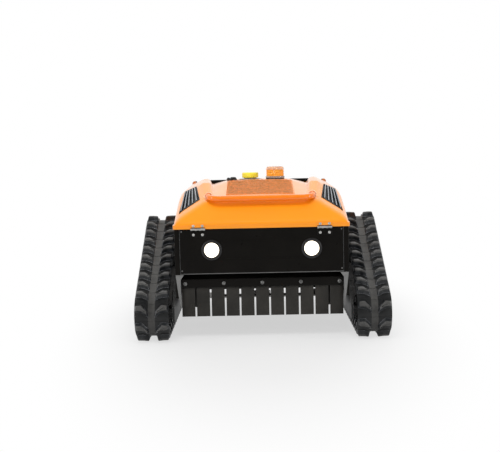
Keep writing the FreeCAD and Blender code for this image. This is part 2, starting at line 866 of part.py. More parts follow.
def strip_curtain(end):
    """Bracket, rubber header, clamp bar, bolts and hanging strips; end is -1 at the front."""
    where = "front" if end < 0 else "rear"
    half = curtain_half
    gauge = s.strip_gauge
    near = gauge / 2 - s.curtain_set
    back = near + s.bracket_gauge
    top = s.panel_foot
    outline = [
        (near, s.strip_head), (back, s.strip_head), (back, clamp_top),
        (back + s.bracket_lean, top - s.bracket_gauge),
        (back + s.bracket_lean + s.bracket_tab, top - s.bracket_gauge),
        (back + s.bracket_lean + s.bracket_tab, top), (near + s.bracket_lean, top), (near, clamp_top),
    ]
    bracket = prism(f"{where}_bracket", "x", outline, -half, half)
    header = box(f"{where}_header", (-half, half), (near - gauge, near), (s.strip_head, clamp_top))
    bar = box(
        f"{where}_bar", (-half, half), (near - gauge - s.clamp_gauge, near - gauge), (s.strip_head, clamp_top),
    )
    outside = near - gauge - s.clamp_gauge
    bolts = [
        hexagon(
            f"{where}_bolt", "y", s.bolt_radius, outside - s.bolt_head, outside,
            (number * s.bolt_spread, (s.strip_head + clamp_top) / 2),
        )
        for number in (-2, -1, 0, 1, 2)
    ]
    pitch = (2 * half + s.strip_slit) / s.strip_count
    axis = s.strip_head - s.seat_gap - gauge / 2
    shoulder = gauge * 0.43
    point = gauge * 0.2
    middle = -s.curtain_set
    hang = [
        (middle - gauge / 2, s.strip_foot), (middle + gauge / 2, s.strip_foot), (middle + gauge / 2, axis),
        (middle + point, axis + shoulder), (middle - point, axis + shoulder), (middle - gauge / 2, axis),
    ]
    strips = []
    for number in range(SIZES["strip_count"]):
        left = number * pitch - half
        strips.append(prism(f"{where}_strip", "x", hang, left, left + pitch - s.strip_slit))
    return bracket, header, bar, bolts, strips


def curtains():
    """The front curtain, and the same again at the rear."""
    bracket, header, bar, bolts, strips = strip_curtain(-1)
    hanging = node("strips_front", group("strips_front_set", *strips))
    node("strips_rear", mirrored("strips_rear_set", hanging, "y"))
    for name, front in (("flap_brackets", bracket), ("curtain_headers", header), ("flap_clamps", bar),
                        ("flap_bolts", group("front_bolts", *bolts))):
        node(name, group(name + "_pair", front, mirrored(name + "_rear", front, "y")))


def hinges():
    """Two butt hinges: lower leaves with their pins on the panel, upper leaves on the lip."""
    lower, upper = [], []
    piece = s.hinge_width / KNUCKLES
    leaf = (-s.body_reach - s.hinge_leaf, -s.body_reach)
    for side in (-1, 1):
        left = side * s.hinge_spread - s.hinge_width / 2
        width = (left, left + s.hinge_width)
        fixed = [box("lower_leaf", width, leaf, (hinge_z - s.hinge_drop, hinge_z - s.hinge_knuckle))]
        moving = [box("upper_leaf", width, leaf, (hinge_z + s.hinge_knuckle, hinge_z + s.hinge_rise))]
        bores = []
        for number in range(KNUCKLES):
            start = left + number * piece + s.side_gap / 2
            end = left + (number + 1) * piece - s.side_gap / 2
            knuckle = rod("knuckle", "x", s.hinge_knuckle, start, end, (hinge_y, hinge_z))
            if number % 2:
                web = (hinge_z, hinge_z + s.hinge_knuckle + s.hinge_leaf)
                moving += [knuckle, box("upper_web", (start, end), leaf, web)]
                bores.append(rod(
                    "pin_bore", "x", s.hinge_pin + s.running_gap, start - s.side_gap, end + s.side_gap,
                    (hinge_y, hinge_z),
                ))
            else:
                web = (hinge_z - s.hinge_knuckle - s.hinge_leaf, hinge_z)
                fixed += [knuckle, box("lower_web", (start, end), leaf, web)]
        end = left + s.hinge_width - s.side_gap
        pin = rod("hinge_pin", "x", s.hinge_pin, left + s.side_gap, end, (hinge_y, hinge_z))
        lower.append(fuse("lower_hinge", pin, *fixed))
        upper.append(cut("upper_hinge", fuse("upper_hinge_blank", *moving), *bores))
    node("hinge_lower_leaves", group("hinge_lower_pair", *lower))
    node("hinge_upper_leaves", group("hinge_upper_pair", *upper))


def shoulder_height(x, y):
    """The sloped shoulder's height on the right side, before it stops rising."""
    start = s.body_top + s.shoulder_start
    return start + SHOULDER_SIDE_SHARE * (hood_half - x) + SHOULDER_BACK_SHARE * (y + s.body_reach)


def hood_form(name, inset):
    """The hood's outer or, inset by its gauge, inner surface as a solid."""
    low = hood_low if not inset else hood_low - s.overrun
    inset = as_size(inset)
    tail = s.body_top + s.tail_height
    side_view = [
        (inset - s.body_reach, low), (inset - s.body_reach, lip_top - inset / 2),
        (crest_y + inset / 2, crest_top - inset), (-s.roof_front, roof_top - inset),
        (s.roof_rear - inset / 2, roof_top - inset), (s.hood_rear - inset, tail - inset / 2),
        (s.hood_rear - inset, low),
    ]
    half = hood_half - inset
    shell = prism(name + "_main", "x", side_view, -half, half)
    far = hood_half + s.overrun
    high = roof_top + hood_half
    ends = (-s.body_reach - s.overrun, s.hood_rear + s.overrun)
    slope = s.side_lean / (roof_top - lip_top)
    lean = prism(
        name + "_lean", "y",
        [(half, lip_top), (far, lip_top), (far, high), (half - slope * (high - lip_top), high)], *ends,
    )
    sections = []
    for along, reach in ((ends[0], ends[0]), (-s.shoulder_end, -s.shoulder_end), (ends[1], -s.shoulder_end)):
        drop = SHOULDER_INSET_SHARE * inset
        line = [(x, shoulder_height(x, reach) - drop) for x in (far, as_size(0))]
        sections.append((along, [line[0], (far, high), (as_size(0), high), line[1]]))
    shoulder = lofted(name + "_shoulder", sections)
    cutters = [lean, mirrored(name + "_lean_left", lean), shoulder, mirrored(name + "_shoulder_left", shoulder)]
    body = cut(name + "_body", shell, *cutters)
    rise = (crest_top - lip_top) / s.crest_back
    stations = (
        (crest_y - s.crest_back / 3, crest_top - rise * s.crest_back / 3),
        (crest_y + s.ridge_nose / rise, crest_top + s.ridge_nose),
        (-s.shoulder_end, s.body_top + s.ridge_height),
        (s.roof_rear, s.body_top + s.ridge_height),
        (s.ridge_tail, tail + s.ridge_side / 2),
    )
    sections = []
    for along, top in stations:
        foot = top - s.ridge_side
        crown = top - inset
        sections.append((along, [
            (s.ridge_inner + inset, foot), (s.ridge_inner + s.ridge_side * 0.6 + inset / 2, crown),
            (s.ridge_outer - inset / 2, crown),
            (s.ridge_outer + s.ridge_side - SHOULDER_INSET_SHARE * inset, foot),
        ]))
    ridge = lofted(name + "_ridge", sections)
    return fuse(name + "_form", body, ridge, mirrored(name + "_ridge_left", ridge))


def vent_corners():
    """Plan view of the right side vent: front outer, front inner, rear inner, rear outer."""
    return [(a * hood_half, -(b * s.body_reach)) for a, b in VENT_CORNER_SHARES]


def between(first, second, share):
    return tuple(a + (b - a) * share for a, b in zip(first, second))


def louvre():
    """A black insert in the shoulder: a plate with long slots and a curved slat over each."""
    front_out, front_in, rear_in, rear_out = vent_corners()
    slots, slats = [], []
    count = SIZES["vent_slats"]
    for number in range(count):
        share = (number + 0.5) / count
        front = between(front_out, front_in, share)
        rear = between(rear_out, rear_in, share)
        start, end = between(front, rear, 0.05), between(front, rear, 0.95)
        wide = s.slat_gauge
        slots.append([(start[0] - wide, start[1]), start, end, (end[0] - wide, end[1])])
        sections = []
        for x, y in (between(front, rear, 0.02), between(front, rear, 0.98)):
            level = shoulder_height(x, y)
            sections.append((y, [
                (x, level - s.vent_gauge * 2), (x + wide, level - s.vent_gauge * 2),
                (x + wide, level + s.slat_height - s.vent_gauge), (x, level + s.slat_height - s.vent_gauge),
            ]))
        slats.append(lofted("slat", sections))
    plan = prism("louvre_plan", "z", vent_corners(), lip_top, roof_top + s.overrun, holes=slots)
    far = hood_half + s.overrun
    sections = []
    for along in (-s.body_reach, -s.shoulder_end + s.overrun):
        tops = [(x, shoulder_height(x, along) - s.vent_gauge / 2) for x in (far, as_size(0))]
        sections.append((along, [tops[0], tops[1]] + [(x, z - s.vent_gauge) for x, z in reversed(tops)]))
    plate = common("louvre_plate", plan, lofted("louvre_slab", sections))
    return fuse("louvre_form", plate, *slats)


def grille():
    """A flat sheet on the roof's front part with rows of diamond holes."""
    rear = -s.roof_front - s.overrun / 3
    rise = (roof_top - crest_top) / (-s.roof_front - crest_y)
    front = -s.grille_front
    low = crest_top + rise * (front - crest_y)
    high = crest_top + rise * (rear - crest_y)
    body = prism(
        "grille_form", "x",
        [(front, low), (rear, high), (rear, high + s.grille_gauge), (front, low + s.grille_gauge)],
        -s.grille_half, s.grille_half,
    )
    wide = (2 * s.grille_half - 2 * s.grille_rim) / s.grille_columns
    deep = (rear - front - 2 * s.grille_rim) / s.grille_rows
    row = new_sketch(body, "mesh_row", "z")
    y = front + s.grille_rim + deep * 0.5
    for column in range(SIZES["grille_columns"]):
        x = s.grille_rim + wide * (column + 0.5)
        draw(row, [(x - wide * 0.42, y), (x, y - deep * 0.4), (x + wide * 0.42, y), (x, y + deep * 0.4)])
    pocket = body.newObject("PartDesign::Pocket", "mesh_holes")
    pocket.Profile = row
    pocket.Reversed = True
    bind(pocket, "Length", roof_top + s.overrun)
    rows = body.newObject("PartDesign::LinearPattern", "mesh_rows")
    rows.Originals = [pocket]
    rows.Direction = (row, ["V_Axis"])
    bind(rows, "Length", deep * (s.grille_rows - 1))
    bind(rows, "Occurrences", s.grille_rows)
    body.Tip = rows
    return node("hood_grille", body)


def hood():
    """Shell with its openings, and what is fixed to it."""
    outer = hood_form("hood_outer", 0)
    inner = hood_form("hood_inner", s.hood_gauge)
    rim = s.grille_rim
    mouth = box(
        "grille_mouth", (rim - s.grille_half, s.grille_half - rim),
        (rim - s.grille_front, -s.roof_front - rim * 1.5),
        (crest_top - s.tube, roof_top + s.overrun),
    )
    vent = prism("vent_mouth", "z", vent_corners(), lip_top, roof_top + s.overrun * 2)
    filler = rod("filler_hole", "z", s.cap_hole, roof_top - s.tube, roof_top + s.overrun, (s.cap_x, s.cap_y))
    bar_y = crest_y - s.handle_stand
    bar_z = crest_top - s.handle_drop
    sockets = [
        rod(
            "handle_hole", "y", s.handle_radius + s.seat_gap,
            bar_y + s.handle_bend / 2, bar_y + s.handle_leg + s.overrun,
            (side * s.handle_span, bar_z),
        )
        for side in (-1, 1)
    ]
    holes = [mouth, vent, mirrored("vent_mouth_left", vent), filler, *sockets]
    node("hood_shell", cut("hood_shell_form", outer, inner, *holes))
    grille()
    right = louvre()
    node("hood_louvres", group("louvre_pair", right, mirrored("louvre_left", right)))
    handle = bent_tube("handle_form", s.handle_radius, s.handle_span, s.handle_bend, s.handle_leg)
    place(handle, 0, bar_y, bar_z)
    node("hood_handle", handle)


def top_fittings():
    """Beacon and aerial base on the hood; ribbed fuel cap on the tank's neck."""
    foot = roof_top
    base = roof_top + s.beacon_foot
    spot = (s.beacon_x, s.beacon_y)
    node("beacon_base", polygon(
        "beacon_base_form", "z", s.small_flats, s.beacon_radius + s.hinge_leaf, foot, base, spot,
    ))
    node("beacon_lens", polygon(
        "beacon_lens_form", "z", s.round_flats, s.beacon_radius, base, base + s.beacon_height, spot,
    ))
    spot = (s.aerial_x, s.aerial_y)
    node("aerial_base", polygon(
        "aerial_form", "z", s.small_flats, s.aerial_radius, foot, foot + s.aerial_height, spot,
    ))
    low, high = cap_top - s.cap_height, cap_top
    wall = s.cap_height / 5
    spot = (s.cap_x, s.cap_y)
    outline = []
    for number in range(2 * SIZES["cap_ribs"]):
        angle = math.pi * number / SIZES["cap_ribs"]
        reach = s.cap_radius if number % 2 else s.cap_radius - wall / 2
        outline.append((reach * math.cos(angle), reach * math.sin(angle)))
    drum = prism("cap_drum", "z", outline, low, high)
    place(drum, s.cap_x, s.cap_y, low)
    bore = rod("cap_bore", "z", s.neck_radius + s.running_gap, low - s.overrun, high - wall, spot)
    node("fuel_cap", cut("fuel_cap_form", drum, bore))
    tank = box(
        "tank_body", (-s.tank_left, s.tank_right), (s.tank_front, s.tank_rear),
        (cradle_height, cradle_height + s.tank_height),
    )
    neck = rod("tank_neck", "z", s.neck_radius, cradle_height + s.tank_height - wall, high - wall * 2, spot)
    node("fuel_tank", fuse("fuel_tank_form", tank, neck))


def inside_body():
    """Batteries on the rear shelf, control box on the front shelf, gearmotors on the sides."""
    rear = inner_reach - s.tube - s.sheet
    cells = [
        box("battery", both(side, s.battery_gap, s.battery_gap + s.battery_width),
            (rear - s.battery_depth, rear),
            (shelf_top, shelf_top + s.battery_height))
        for side in (-1, 1)
    ]
    node("batteries", group("battery_pair", *cells))
    lid = s.sheet * 2
    front = s.tube - inner_reach + s.sheet
    case = box(
        "control_case", (-s.control_half, s.control_half), (front, front + s.control_depth),
        (shelf_top, shelf_top + s.control_height),
    )
    cover = box(
        "control_lid", (-s.control_half - lid, s.control_half + lid),
        (front - lid / 2, front + s.control_depth + lid / 2),
        (shelf_top + s.control_height, shelf_top + s.control_height + lid),
    )
    node("control_box", fuse("control_box_form", case, cover))
    spot = (s.sprocket_back, s.sprocket_height)
    half = s.motor_flange / 2
    flange = box(
        "motor_flange", (inner_face - s.flange_gauge, inner_face), (spot[0] - half, spot[0] + half),
        (spot[1] - half, spot[1] + half),
    )
    gears = inner_face - s.flange_gauge - s.gearbox_length
    gearbox = box(
        "gearbox", (gears, inner_face - s.flange_gauge), (spot[0] - s.gearbox_half, spot[0] + s.gearbox_half),
        (spot[1] - s.gearbox_half, spot[1] + s.gearbox_half),
    )
    motor = polygon("motor", "x", s.small_flats, s.motor_radius, gears - motor_length, gears, spot)
    bore = rod("output_bore", "x", s.shaft_radius + s.running_gap, inner_face - s.shaft_grip - s.seat_gap,
               inner_face + s.overrun, spot)
    right = cut("gearmotor", fuse("gearmotor_blank", flange, gearbox, motor), bore)
    node("gearmotors", group("gearmotor_pair", right, mirrored("gearmotor_left", right)))


def lift():
    """Four guide rods and the actuator's tube under the cross tubes; its rod on the deck."""
    rods = [
        rod("guide_rod", "z", s.guide_radius, s.guide_foot, rail_low, (x * cross_member, y * cross_member))
        for x in (-1, 1) for y in (-1, 1)
    ]
    node("guide_rods", group("guide_rod_set", *rods))
    spot = (0, -cross_member)
    tube = box(
        "lift_tube_blank", (-s.lift_tube, s.lift_tube), (spot[1] - s.lift_tube, spot[1] + s.lift_tube),
        (s.lift_tube_foot, rail_low),
    )
    bore = rod("lift_bore", "z", s.lift_radius + s.running_gap, s.lift_tube_foot - s.overrun,
               rail_low - s.lift_bore_end, spot)
    node("lift_tube", cut("lift_tube_form", tube, bore))
    half = s.lift_foot / 2
    shoe = box("lift_shoe", (-half, half), (-cross_member - half, half - cross_member),
               (s.deck_top, s.deck_top + s.lift_foot_height))
    stem = rod("lift_stem", "z", s.lift_radius, s.deck_top, s.lift_rod_top, spot)
    node("lift_rod", fuse("lift_rod_form", shoe, stem))


def deck():
    """Deck pan with four guide bushes, open underneath and in front."""
    half, corner, gauge = deck_half, s.deck_corner, s.sheet
    def plan(reach, chamfer):
        flat = reach - chamfer
        return [
            (-flat, -reach), (flat, -reach), (reach, -flat), (reach, flat),
            (flat, reach), (-flat, reach), (-reach, flat), (-reach, -flat),
        ]
    pan = prism("deck_pan", "z", plan(half, corner), s.deck_foot, s.deck_top)
    space = prism("deck_space", "z", plan(half - gauge, corner), s.deck_foot - s.overrun, s.deck_top - gauge)
    solids = [cut("deck_tray", pan, space)]
    bores = [rod("pto_hole", "z", s.pto_hole, s.deck_top - s.overrun, s.deck_top + s.overrun, (0, 0))]
    jamb = half - corner - s.mouth_jamb
    bores.append(box("grass_mouth", (-jamb, jamb), (-half - s.overrun, gauge + s.overrun - half),
                     (s.deck_foot - s.overrun, s.deck_top - s.mouth_lip)))
    for x in (-1, 1):
        for y in (-1, 1):
            spot = (x * cross_member, y * cross_member)
            solids.append(box(
                "bush", (spot[0] - s.bush_half, spot[0] + s.bush_half),
                (spot[1] - s.bush_half, spot[1] + s.bush_half),
                (s.deck_top, s.deck_top + s.bush_height),
            ))
            bores.append(rod(
                "bush_bore", "z", s.guide_radius + s.running_gap, s.deck_top - s.overrun,
                s.deck_top + s.bush_height + s.overrun, spot,
            ))
    node("deck_shell", cut("deck_form", fuse("deck_blank", *solids), *bores))


def engine():
    """Crankcase with a finned cylinder, shroud with a fan screen, exhaust and air filter."""
    half = s.crankcase_half
    top = s.deck_top + s.crankcase_height
    solids = [box("crankcase", (-half, half), (-half, half), (s.deck_top, top))]
    low = s.deck_top + s.cylinder_rise
    solids.append(box("cylinder", (-s.cylinder_half, s.cylinder_half), (-s.cylinder_reach, -half),
                      (low, low + s.cylinder_height)))
    step = (s.cylinder_reach - half) / s.fin_count
    wide = s.cylinder_half + s.fin_margin
    for number in range(SIZES["fin_count"]):
        start = -s.cylinder_reach + step * (number + 0.3)
        solids.append(box("fin", (-wide, wide), (start, start + s.fin_gauge),
                          (low - s.fin_margin, low + s.cylinder_height + s.fin_margin)))
    bore = rod("crank_bore", "z", s.shaft_radius + s.running_gap, s.deck_top - s.overrun,
               s.deck_top + s.crank_grip + s.seat_gap, (0, 0))
    node("engine_block", cut("engine_form", fuse("engine_blank", *solids), bore))
    wide, cut_back = s.shroud_half, s.shroud_half - s.shroud_corner
    plan = [
        (-cut_back, -wide), (cut_back, -wide), (wide, -cut_back), (wide, cut_back),
        (cut_back, wide), (-cut_back, wide), (-wide, cut_back), (-wide, -cut_back),
    ]
    cover = prism("shroud_body", "z", plan, top, top + s.shroud_height)
    screen = polygon(
        "fan_screen", "z", s.small_flats, s.fan_radius, top + s.shroud_height,
        top + s.shroud_height + s.fan_rise, (0, 0),
    )
    node("engine_shroud", fuse("shroud_form", cover, screen))
    base = s.deck_top + s.side_rise
    for name, side, length, depth, height in (
        ("muffler", 1, s.muffler_length, s.muffler_depth, s.muffler_height),
        ("air_filter", -1, s.filter_length, s.filter_depth, s.filter_height),
    ):
        inset = depth / 5
        outline = [
            (half, base), (half + depth - inset, base), (half + depth, base + inset),
            (half + depth, base + height - inset), (half + depth - inset, base + height),
            (half, base + height),
        ]
        outline = [(side * x, z) for x, z in outline]
        node(name, prism(name + "_form", "y", outline, -length / 2, length / 2))


def blade():
    """Crankshaft end with its hub and bolt, and a bar blade with raised wings."""
    under, over = s.blade_under, s.blade_under + s.blade_gauge
    shaft = rod("crankshaft", "z", s.shaft_radius, under, s.deck_top + s.crank_grip, (0, 0))
    hub = polygon("blade_hub", "z", s.small_flats, s.hub_radius, over, over + s.hub_height, (0, 0))
    bolt = hexagon("blade_bolt", "z", s.blade_bolt_radius, under - s.blade_bolt_head, under, (0, 0))
    node("blade_spindle", fuse("spindle_form", shaft, hub, bolt))
    reach, half = blade_reach, s.blade_half
    start = reach - s.wing_length
    plan = [
        (-reach, -half), (-start, -half), (start, -half), (reach, -half / 2), (reach, half),
        (start, half), (-start, half), (-reach, half / 2),
    ]
    bar = prism("blade_bar", "z", plan, under, over)
    hole = rod("blade_hole", "z", s.shaft_radius + s.running_gap, under - s.overrun, over + s.overrun, (0, 0))
    solids = [cut("blade_blank", bar, hole)]
    for side in (-1, 1):
        edge = side * half
        wing = [
            (edge, under), (edge, over + s.wing_rise), (edge - side * s.blade_gauge, over + s.wing_rise),
            (edge - side * half / 2, over), (edge - side * half / 2, under),
        ]
        outline = prism("blade_wing", "x", wing, *both(side, start, reach))
        solids.append(outline)
    node("cutter_blade", fuse("cutter_blade_form", *solids))


def track_frame():
    """Plate beside the belt with its windows, stand-offs and fixed axles, on the right."""
    span, foot, crown = s.idler_half_span, axle_height - s.frame_foot, s.sprocket_height + s.frame_crown
    margin = s.frame_margin
    back = s.sprocket_back
    half = s.frame_crown_half
    outline = [
        (-span - margin, foot), (span + margin, foot), (span + margin, axle_height + margin),
        (back + half, crown), (back - half, crown), (-span - margin, axle_height + margin),
    ]
    rib = s.frame_rib
    sill = axle_height + rib * 0.7
    windows = []
    for side in (-1, 1):
        near = back + side * (half + rib * 0.2)
        ridge = crown - rib * 1.7
        slope = (crown - axle_height - margin) / (span + margin - half - side * back)
        far = near + side * (ridge - sill - rib / 2) / slope
        windows.append([(near, sill), (far, sill), (far, sill + rib / 2), (near, ridge)])
    plate = prism("frame_sheet", "x", outline, plate_inside, plate_outside, holes=windows)
    hole = rod("frame_shaft_hole", "x", s.shaft_radius + s.overrun, plate_inside - s.overrun,
               plate_outside + s.overrun, (back, s.sprocket_height))
    solids = [cut("frame_plate", plate, hole)]
    stub_end = wheel_outside + s.side_gap
    caps = []
    wheels = [(side * span, axle_height) for side in (-1, 1)]
    wheels += [(number * s.roller_spacing, roller_height) for number in ROLLER_PLACES]
    for spot in wheels:
        solids.append(rod("axle", "x", s.axle_radius, plate_outside, stub_end, spot))
        solids.append(hexagon(
            "axle_shoulder", "x", s.shoulder_radius, plate_outside, wheel_inside - s.side_gap, spot,
        ))
        caps.append(hexagon("axle_cap", "x", s.nut_radius, stub_end, stub_end + s.nut_height, spot))
    low = s.side_foot + s.spacer_half + s.sheet
    high = crown - rib * 0.4
    for along, high in ((-span + rib * 2.6, low), (span - rib * 1.7, low),
                        (back - half * 0.7, high), (back + half * 0.7, high)):
        solids.append(box(
            "spacer", (s.body_half, plate_inside), (along - s.spacer_half, along + s.spacer_half),
            (high - s.spacer_half, high + s.spacer_half),
        ))
    right = node("track_frame_right", fuse("track_frame_form", *solids))
    node("track_frame_left", mirrored("track_frame_copy", right))
    group_right = group("axle_caps_right_set", *caps)
    node("axle_caps", group("axle_caps_all", group_right, mirrored("axle_caps_left_set", group_right)))


def plain_wheel(name, radius, spot):
    """A wheel between the belt's two rows of guide lugs, with a running bore."""
    rim = polygon(
        name + "_rim", "x", s.round_flats, radius - s.seat_gap, wheel_inside, wheel_outside, spot,
    )
    bore = rod(
        name + "_bore", "x", s.axle_radius + s.running_gap, wheel_inside - s.overrun,
        wheel_outside + s.overrun, spot,
    )
    return cut(name, rim, bore)


def sprocket():
    """Drive wheel with a pocket for each guide lug, on its drive shaft."""
    body = add("PartDesign::Body", "sprocket_drum")
    half = s.belt_width / 2 - s.guide_inset
    disc = new_sketch(body, "drum_circle", "x")
    disc.addGeometry(Part.Circle(FreeCAD.Vector(0, 0, 0), FreeCAD.Vector(0, 0, 1), 1), False)
    disc.addConstraint(Sketcher.Constraint("Coincident", 0, 3, -1, 1))
    number = disc.addConstraint(Sketcher.Constraint("Radius", 0, (s.sprocket_radius - s.seat_gap).value))
    disc.setExpression(f"Constraints[{number}]", (s.sprocket_radius - s.seat_gap).formula)
    pad = body.newObject("PartDesign::Pad", "drum_pad")
    pad.Profile = disc
    bind(pad, "Length", half * 2)
    slot = new_sketch(body, "pocket_outline", "x")
    depth = s.sprocket_radius - s.guide_height - s.pocket_clearance
    tip = s.guide_crest / 2 + s.pocket_clearance
    mouth = s.guide_root / 2 + s.pocket_flare
    mouth = mouth + (mouth - tip) * s.overrun / (s.guide_height + s.pocket_clearance)
    rim = s.sprocket_radius + s.overrun
    draw(slot, [(-tip, depth), (tip, depth), (mouth, rim), (-mouth, rim)])
    pocket = body.newObject("PartDesign::Pocket", "guide_pocket")
    pocket.Profile = slot
    pocket.Reversed = True
    bind(pocket, "Length", half * 2)
    pattern = body.newObject("PartDesign::PolarPattern", "guide_pockets")
    pattern.Originals = [pocket]
    pattern.Axis = (slot, ["N_Axis"])
    pattern.Angle = 360
    bind(pattern, "Occurrences", s.sprocket_teeth)
    body.Tip = pattern
    place(body, belt_centre - half, s.sprocket_back, s.sprocket_height)
    spot = (s.sprocket_back, s.sprocket_height)
    shaft = rod("drive_shaft", "x", s.shaft_radius, inner_face - s.shaft_grip, belt_centre, spot)
    start = belt_centre + half
    hub = hexagon("sprocket_nut", "x", s.nut_radius, start, start + s.nut_height, spot)
    right = node("drive_sprocket_right", fuse("sprocket_form", body, shaft, hub))
    node("drive_sprocket_left", mirrored("sprocket_copy", right))


def tracks():
    """Belts, sprockets, idlers and rollers on both sides."""
    track_frame()
    sprocket()
    form = track_belt()
    places = {
        "idler_front": (s.idler_radius, (-s.idler_half_span, axle_height)),
        "idler_rear": (s.idler_radius, (s.idler_half_span, axle_height)),
    }
    for number, where in zip(ROLLER_PLACES, ("front", "middle", "rear")):
        places[f"roller_{where}"] = (s.roller_radius, (number * s.roller_spacing, roller_height))
    for name, (radius, spot) in places.items():
        right = node(f"{name}_right", plain_wheel(f"{name}_form", radius, spot))
        node(f"{name}_left", mirrored(f"{name}_copy", right))
    place(form, belt_centre, 0, 0)
    node("track_belt_right", form)
    node("track_belt_left", mirrored("track_belt_copy", form))


def rear_fittings():
    """Bar behind the hood with a marker lamp on a plate at each end; stop button on the rear panel."""
    back = s.body_reach + s.bar_radius
    bar = bent_tube("rear_bar_form", s.bar_radius, s.bar_span, s.bar_bend, s.bar_top - s.bar_radius - s.bar_foot)
    bar.Placement.Rotation = FreeCAD.Rotation(FreeCAD.Vector(1, 0, 0), -90)
    place(bar, 0, back, s.bar_top - s.bar_radius)
    lamps = []
    node("rear_bar", bar)
    foot = s.bar_top - s.bar_radius - s.bar_bend
    level = foot + s.marker_rise
    for side in (-1, 1):
        start = s.bar_span + s.bar_radius
        plate = box(
            "marker_plate", both(side, start, start + s.marker_plate),
            (back - s.marker_stub_radius, back + s.marker_stub_radius),
            (foot - s.marker_radius, level + s.marker_stub_radius),
        )
        stub = hexagon(
            "marker_stub", "x", s.marker_stub_radius,
            *both(side, start + s.marker_plate, start + s.marker_stub), (back, level),
        )
        lens_start = start + s.marker_stub
        lens = polygon(
            "marker_lens", "x", s.small_flats, s.marker_radius,
            *both(side, lens_start, lens_start + s.marker_length), (back, level),
        )
        lamps.append(fuse("marker_lamp", plate, stub, lens))
    node("marker_lamps", group("marker_lamp_pair", *lamps))
    spot = (s.stop_x, s.stop_height)
    face = s.body_reach
    outer = face + s.stop_housing_length
    housing = box(
        "stop_blank", (spot[0] - s.stop_housing_half, spot[0] + s.stop_housing_half), (face, outer),
        (spot[1] - s.stop_housing_half, spot[1] + s.stop_housing_half),
    )
    bore = rod("stop_bore", "y", s.stop_stem + s.running_gap, face - s.overrun, outer + s.overrun, spot)
    node("stop_housing", cut("stop_housing_form", housing, bore))
    head = outer + s.stop_travel + s.seat_gap
    button = polygon("stop_head", "y", s.round_flats, s.stop_radius, head, head + s.stop_head, spot)
    stem = hexagon("stop_shank", "y", s.stop_stem, face, head, spot)
    node("stop_button", fuse("stop_button_form", button, stem))


def check_and_write():
    """Stop on any failed object or bad shape; then write one STEP file for each node."""
    document.recompute()
    for thing in document.Objects:
        bad = {"Invalid", "Error"} & set(thing.State)
        if bad:
            raise RuntimeError(f"{thing.Name} ({thing.Label}) is {bad}: {thing.getStatusString()}")
    os.makedirs("parts", exist_ok=True)
    for name, part in nodes.items():
        shape = part.Shape
        if shape.isNull() or not shape.isValid() or not shape.Solids:
            raise RuntimeError(f"{name} has no valid solid")
        shape.exportStep(f"parts/{name}.step")
        low, high = shape.BoundBox.getPoint(0), shape.BoundBox.getPoint(6)
        print(name, len(shape.Solids), "solids", round(shape.Volume), [round(v, 2) for v in (*low, *high)])


chassis_frame()
panels()
headlights()
curtains()
hinges()
hood()
top_fittings()
inside_body()
lift()
deck()
engine()
blade()
tracks()
rear_fittings()
check_and_write()
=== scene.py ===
"""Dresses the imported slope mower: camera, studio, finishes and fine pieces.

Metres, in the frame of the CAD: the front faces -Y, up is +Z and left is -X.
"""
import math

import bmesh
import bpy
import numpy as np
from mathutils import Matrix, Vector


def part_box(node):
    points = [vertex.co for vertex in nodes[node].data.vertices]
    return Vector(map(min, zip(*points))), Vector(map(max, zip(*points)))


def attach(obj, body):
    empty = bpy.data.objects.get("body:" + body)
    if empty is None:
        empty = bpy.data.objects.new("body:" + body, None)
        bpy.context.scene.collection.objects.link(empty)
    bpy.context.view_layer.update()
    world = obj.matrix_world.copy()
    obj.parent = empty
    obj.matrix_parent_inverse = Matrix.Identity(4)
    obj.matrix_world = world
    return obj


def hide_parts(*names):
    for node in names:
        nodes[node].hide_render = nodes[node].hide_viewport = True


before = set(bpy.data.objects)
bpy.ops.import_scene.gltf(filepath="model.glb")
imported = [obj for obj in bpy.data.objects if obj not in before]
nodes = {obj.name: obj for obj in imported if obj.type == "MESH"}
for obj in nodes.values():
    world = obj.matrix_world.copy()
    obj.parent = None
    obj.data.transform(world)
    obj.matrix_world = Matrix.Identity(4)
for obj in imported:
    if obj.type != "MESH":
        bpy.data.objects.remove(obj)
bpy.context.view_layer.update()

# the photograph's viewpoint
CAMERA_PLACE = (-0.021, -3.833, 0.732)
CAMERA_DOWN = math.radians(5.49)
CAMERA_LEFT = math.radians(0.31)
CAMERA_ROLL = math.radians(1.22)
CAMERA_LENS_MM = 70.4
SENSOR_MM = 36.0

# places shared by several pieces
BODY_HALF, BODY_REACH = 0.308, 0.400
LAMP_SPREAD, LAMP_HEIGHT = 0.177, 0.319
ROOF_TOP = 0.548
HINGE_SPREAD, HINGE_WIDTH, HINGE_Z = 0.224, 0.052, 0.3937
HINGE_Y = -0.404
SIDES = (-1, 1)
SIDE_NAMES = ((-1, "left"), (1, "right"))


# ---- finishes ----

def put(tree, kind, settings=None, **inputs):
    """Adds a node; an input is linked if it is a socket and set if it is a value."""
    node = tree.nodes.new(kind)
    for key, value in (settings or {}).items():
        setattr(node, key, value)
    for key, value in inputs.items():
        socket = node.inputs[int(key[1:]) if key[0] == "n" and key[1:].isdigit() else key.replace("_", " ")]
        if isinstance(value, bpy.types.NodeSocket):
            tree.links.new(value, socket)
        else:
            socket.default_value = (*value, 1) if isinstance(value, tuple) and len(value) == 3 \
                and socket.type == "RGBA" else value
    return node


def new_group(name, inputs, outputs):
    """An empty shader group with named sockets, and its two end nodes."""
    group = bpy.data.node_groups.new(name, "ShaderNodeTree")
    kinds = {"colour": "NodeSocketColor", "value": "NodeSocketFloat", "vector": "NodeSocketVector"}
    for label, kind in inputs:
        group.interface.new_socket(label, in_out="INPUT", socket_type=kinds[kind])
    for label, kind in outputs:
        group.interface.new_socket(label, in_out="OUTPUT", socket_type=kinds[kind])
    return group, group.nodes.new("NodeGroupInput"), group.nodes.new("NodeGroupOutput")


